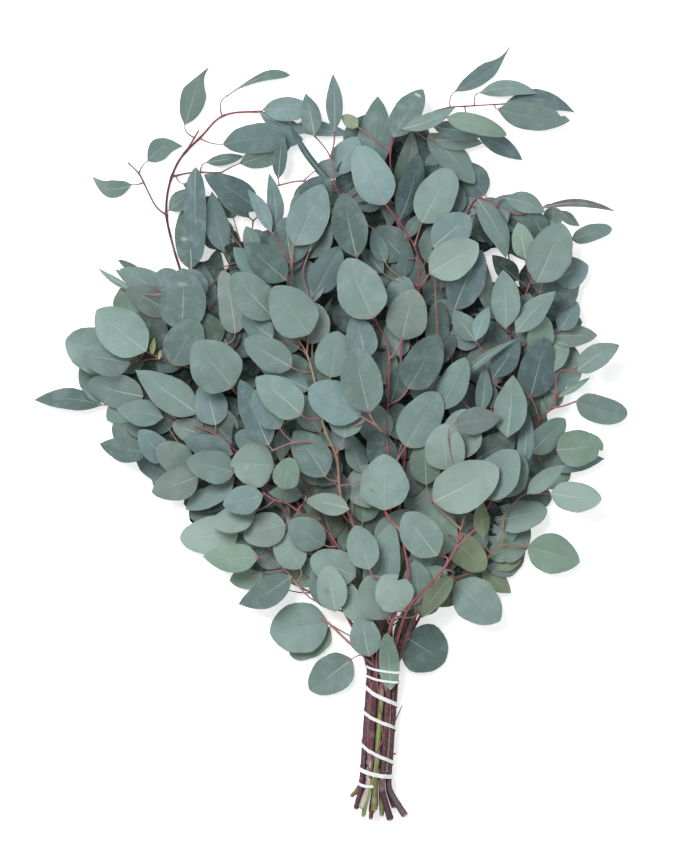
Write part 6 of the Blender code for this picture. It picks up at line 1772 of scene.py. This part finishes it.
class EUCALYPTUS_OT_leafy_stems(bpy.types.Operator):
    """Make the leafy stems, each over its solid"""
    bl_idname = "eucalyptus.leafy_stems"
    bl_label = "Leafy stems"

    def execute(self, context):
        scene = context.scene
        materials = [glaucous_leaf_blade(), smooth_woody_bark(), young_twig_skin(),
                     fresh_cut_wood(), glaucous_leaf_blade("dull_shaded_lower_leaf", 0.85, 0.08)]
        laid = lay_out()
        seen = SeenFromAbove()
        for record in laid:
            record["leaves"] = [leaf for leaf in record["leaves"]
                                if not (record["hidden"] and seen.shuts(leaf))
                                and named_place(leaf) != UNDER_ELASTIC]
            for leaf in record["leaves"]:
                seen.show(leaf, not record["hidden"])
        lower_leaves(laid, seen, scene.bunch_leaves.lower_count, random.Random(5))
        lower_leaves(laid, seen, scene.bunch_leaves.deepest_count, random.Random(6), True)
        close_gaps(laid, seen, scene.bunch_leaves.closing_count, random.Random(7))
        for number, record in enumerate(laid):
            if record["name"] not in frame["nodes"]:
                raise RuntimeError("no solid named " + record["name"])
            piece = make_leafy_stem(record, number, seen, materials, scene.bunch_leaves,
                                    scene.bunch_wood)
            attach(piece, "root")
            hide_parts(record["name"])
        return {"FINISHED"}


class EUCALYPTUS_OT_elastic_tie(bpy.types.Operator):
    """Make the white elastic over its solid"""
    bl_idname = "eucalyptus.elastic_tie"
    bl_label = "Elastic tie"

    def execute(self, context):
        piece = make_elastic([braided_white_elastic()], context.scene.bunch_elastic)
        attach(piece, "root")
        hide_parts("elastic_tie")
        return {"FINISHED"}


class EUCALYPTUS_OT_stage(bpy.types.Operator):
    """Make the white table, the soft light and the camera above the bunch"""
    bl_idname = "eucalyptus.stage"
    bl_label = "Table, light and camera"

    def execute(self, context):
        settings = context.scene.bunch_stage
        make_table(settings)
        make_lights(context.scene, settings)
        make_camera(context.scene, settings)
        # plain tones, so that the table is white and a leaf shows the colour that is written
        context.scene.view_settings.view_transform = "Standard"
        return {"FINISHED"}


def make_table(settings):
    """White table top just below the lowest leaf."""
    half = settings.table_side / 2
    mesh = bpy.data.meshes.new("table_top")
    corners = [(x * half, y * half, 0.0) for x, y in ((-1, -1), (1, -1), (1, 1), (-1, 1))]
    mesh.from_pydata(corners, [], [(0, 1, 2, 3)])
    mesh.materials.append(white_table_paint())
    table = bpy.data.objects.new("table_top", mesh)
    table.location.z = -0.0004
    bpy.context.scene.collection.objects.link(table)


def make_lights(scene, settings):
    """A large soft light above the top left, and a white room."""
    lamp = bpy.data.lights.new("soft_key", "AREA")
    lamp.shape = "DISK"
    lamp.size = 0.9
    lamp.energy = settings.key_power
    key = bpy.data.objects.new("soft_key", lamp)
    key.location = (-0.55, 0.65, 1.7)
    aim = Vector((0.0, 0.0, 0.0)) - key.location
    key.rotation_euler = aim.to_track_quat("-Z", "Y").to_euler()
    scene.collection.objects.link(key)
    world = bpy.data.worlds.new("white_room")
    world.use_nodes = True
    back = world.node_tree.nodes["Background"]
    back.inputs["Color"].default_value = (1.0, 1.0, 1.0, 1.0)
    back.inputs["Strength"].default_value = settings.sky
    scene.world = world


def make_camera(scene, settings):
    """Camera straight above, framed as the photograph."""
    data = bpy.data.cameras.new("above")
    data.lens = settings.lens
    data.sensor_width = SENSOR
    data.sensor_fit = "AUTO"
    camera = bpy.data.objects.new("above", data)
    distance = VIEW_HEIGHT * MM * settings.lens / SENSOR
    camera.location = (VIEW_CENTRE[0] * MM, VIEW_CENTRE[1] * MM, distance + MIDDLE_HEIGHT * MM)
    camera.rotation_euler = (0.0, 0.0, 0.0)
    data.clip_start = 0.05
    data.clip_end = distance * 3
    scene.collection.objects.link(camera)
    scene.camera = camera


class EUCALYPTUS_PT_panel(bpy.types.Panel):
    """Sizes and steps of the bunch"""
    bl_label = "Eucalyptus bunch"
    bl_idname = "EUCALYPTUS_PT_panel"
    bl_space_type = "VIEW_3D"
    bl_region_type = "UI"
    bl_category = "Eucalyptus"

    def draw(self, context):
        for label, group in SETTINGS.items():
            box = self.layout.box()
            for name in group.__annotations__:
                box.prop(getattr(context.scene, label), name)
        for step in STEPS:
            self.layout.operator(step)


SETTINGS = {"bunch_leaves": BunchLeaves, "bunch_wood": BunchWood, "bunch_elastic": BunchElastic,
            "bunch_stage": BunchStage}
CLASSES = (*SETTINGS.values(), EUCALYPTUS_OT_leafy_stems, EUCALYPTUS_OT_elastic_tie,
           EUCALYPTUS_OT_stage, EUCALYPTUS_PT_panel)
STEPS = ("eucalyptus.leafy_stems", "eucalyptus.elastic_tie", "eucalyptus.stage")


def register():
    """Register the settings, steps and panel."""
    for cls in CLASSES:
        bpy.utils.register_class(cls)
    for name, group in SETTINGS.items():
        setattr(bpy.types.Scene, name, bpy.props.PointerProperty(type=group))


def unregister():
    """Take them out again."""
    for name in SETTINGS:
        delattr(bpy.types.Scene, name)
    for cls in reversed(CLASSES):
        bpy.utils.unregister_class(cls)


def main():
    """Clear the default scene and run the steps in order."""
    for obj in list(bpy.data.objects):
        if obj.type in {"CAMERA", "LIGHT"} or obj.name == "Cube":
            bpy.data.objects.remove(obj)
    register()
    bpy.ops.eucalyptus.leafy_stems()
    bpy.ops.eucalyptus.elastic_tie()
    bpy.ops.eucalyptus.stage()
    bpy.context.view_layer.update()


if __name__ == "__main__":
    main()
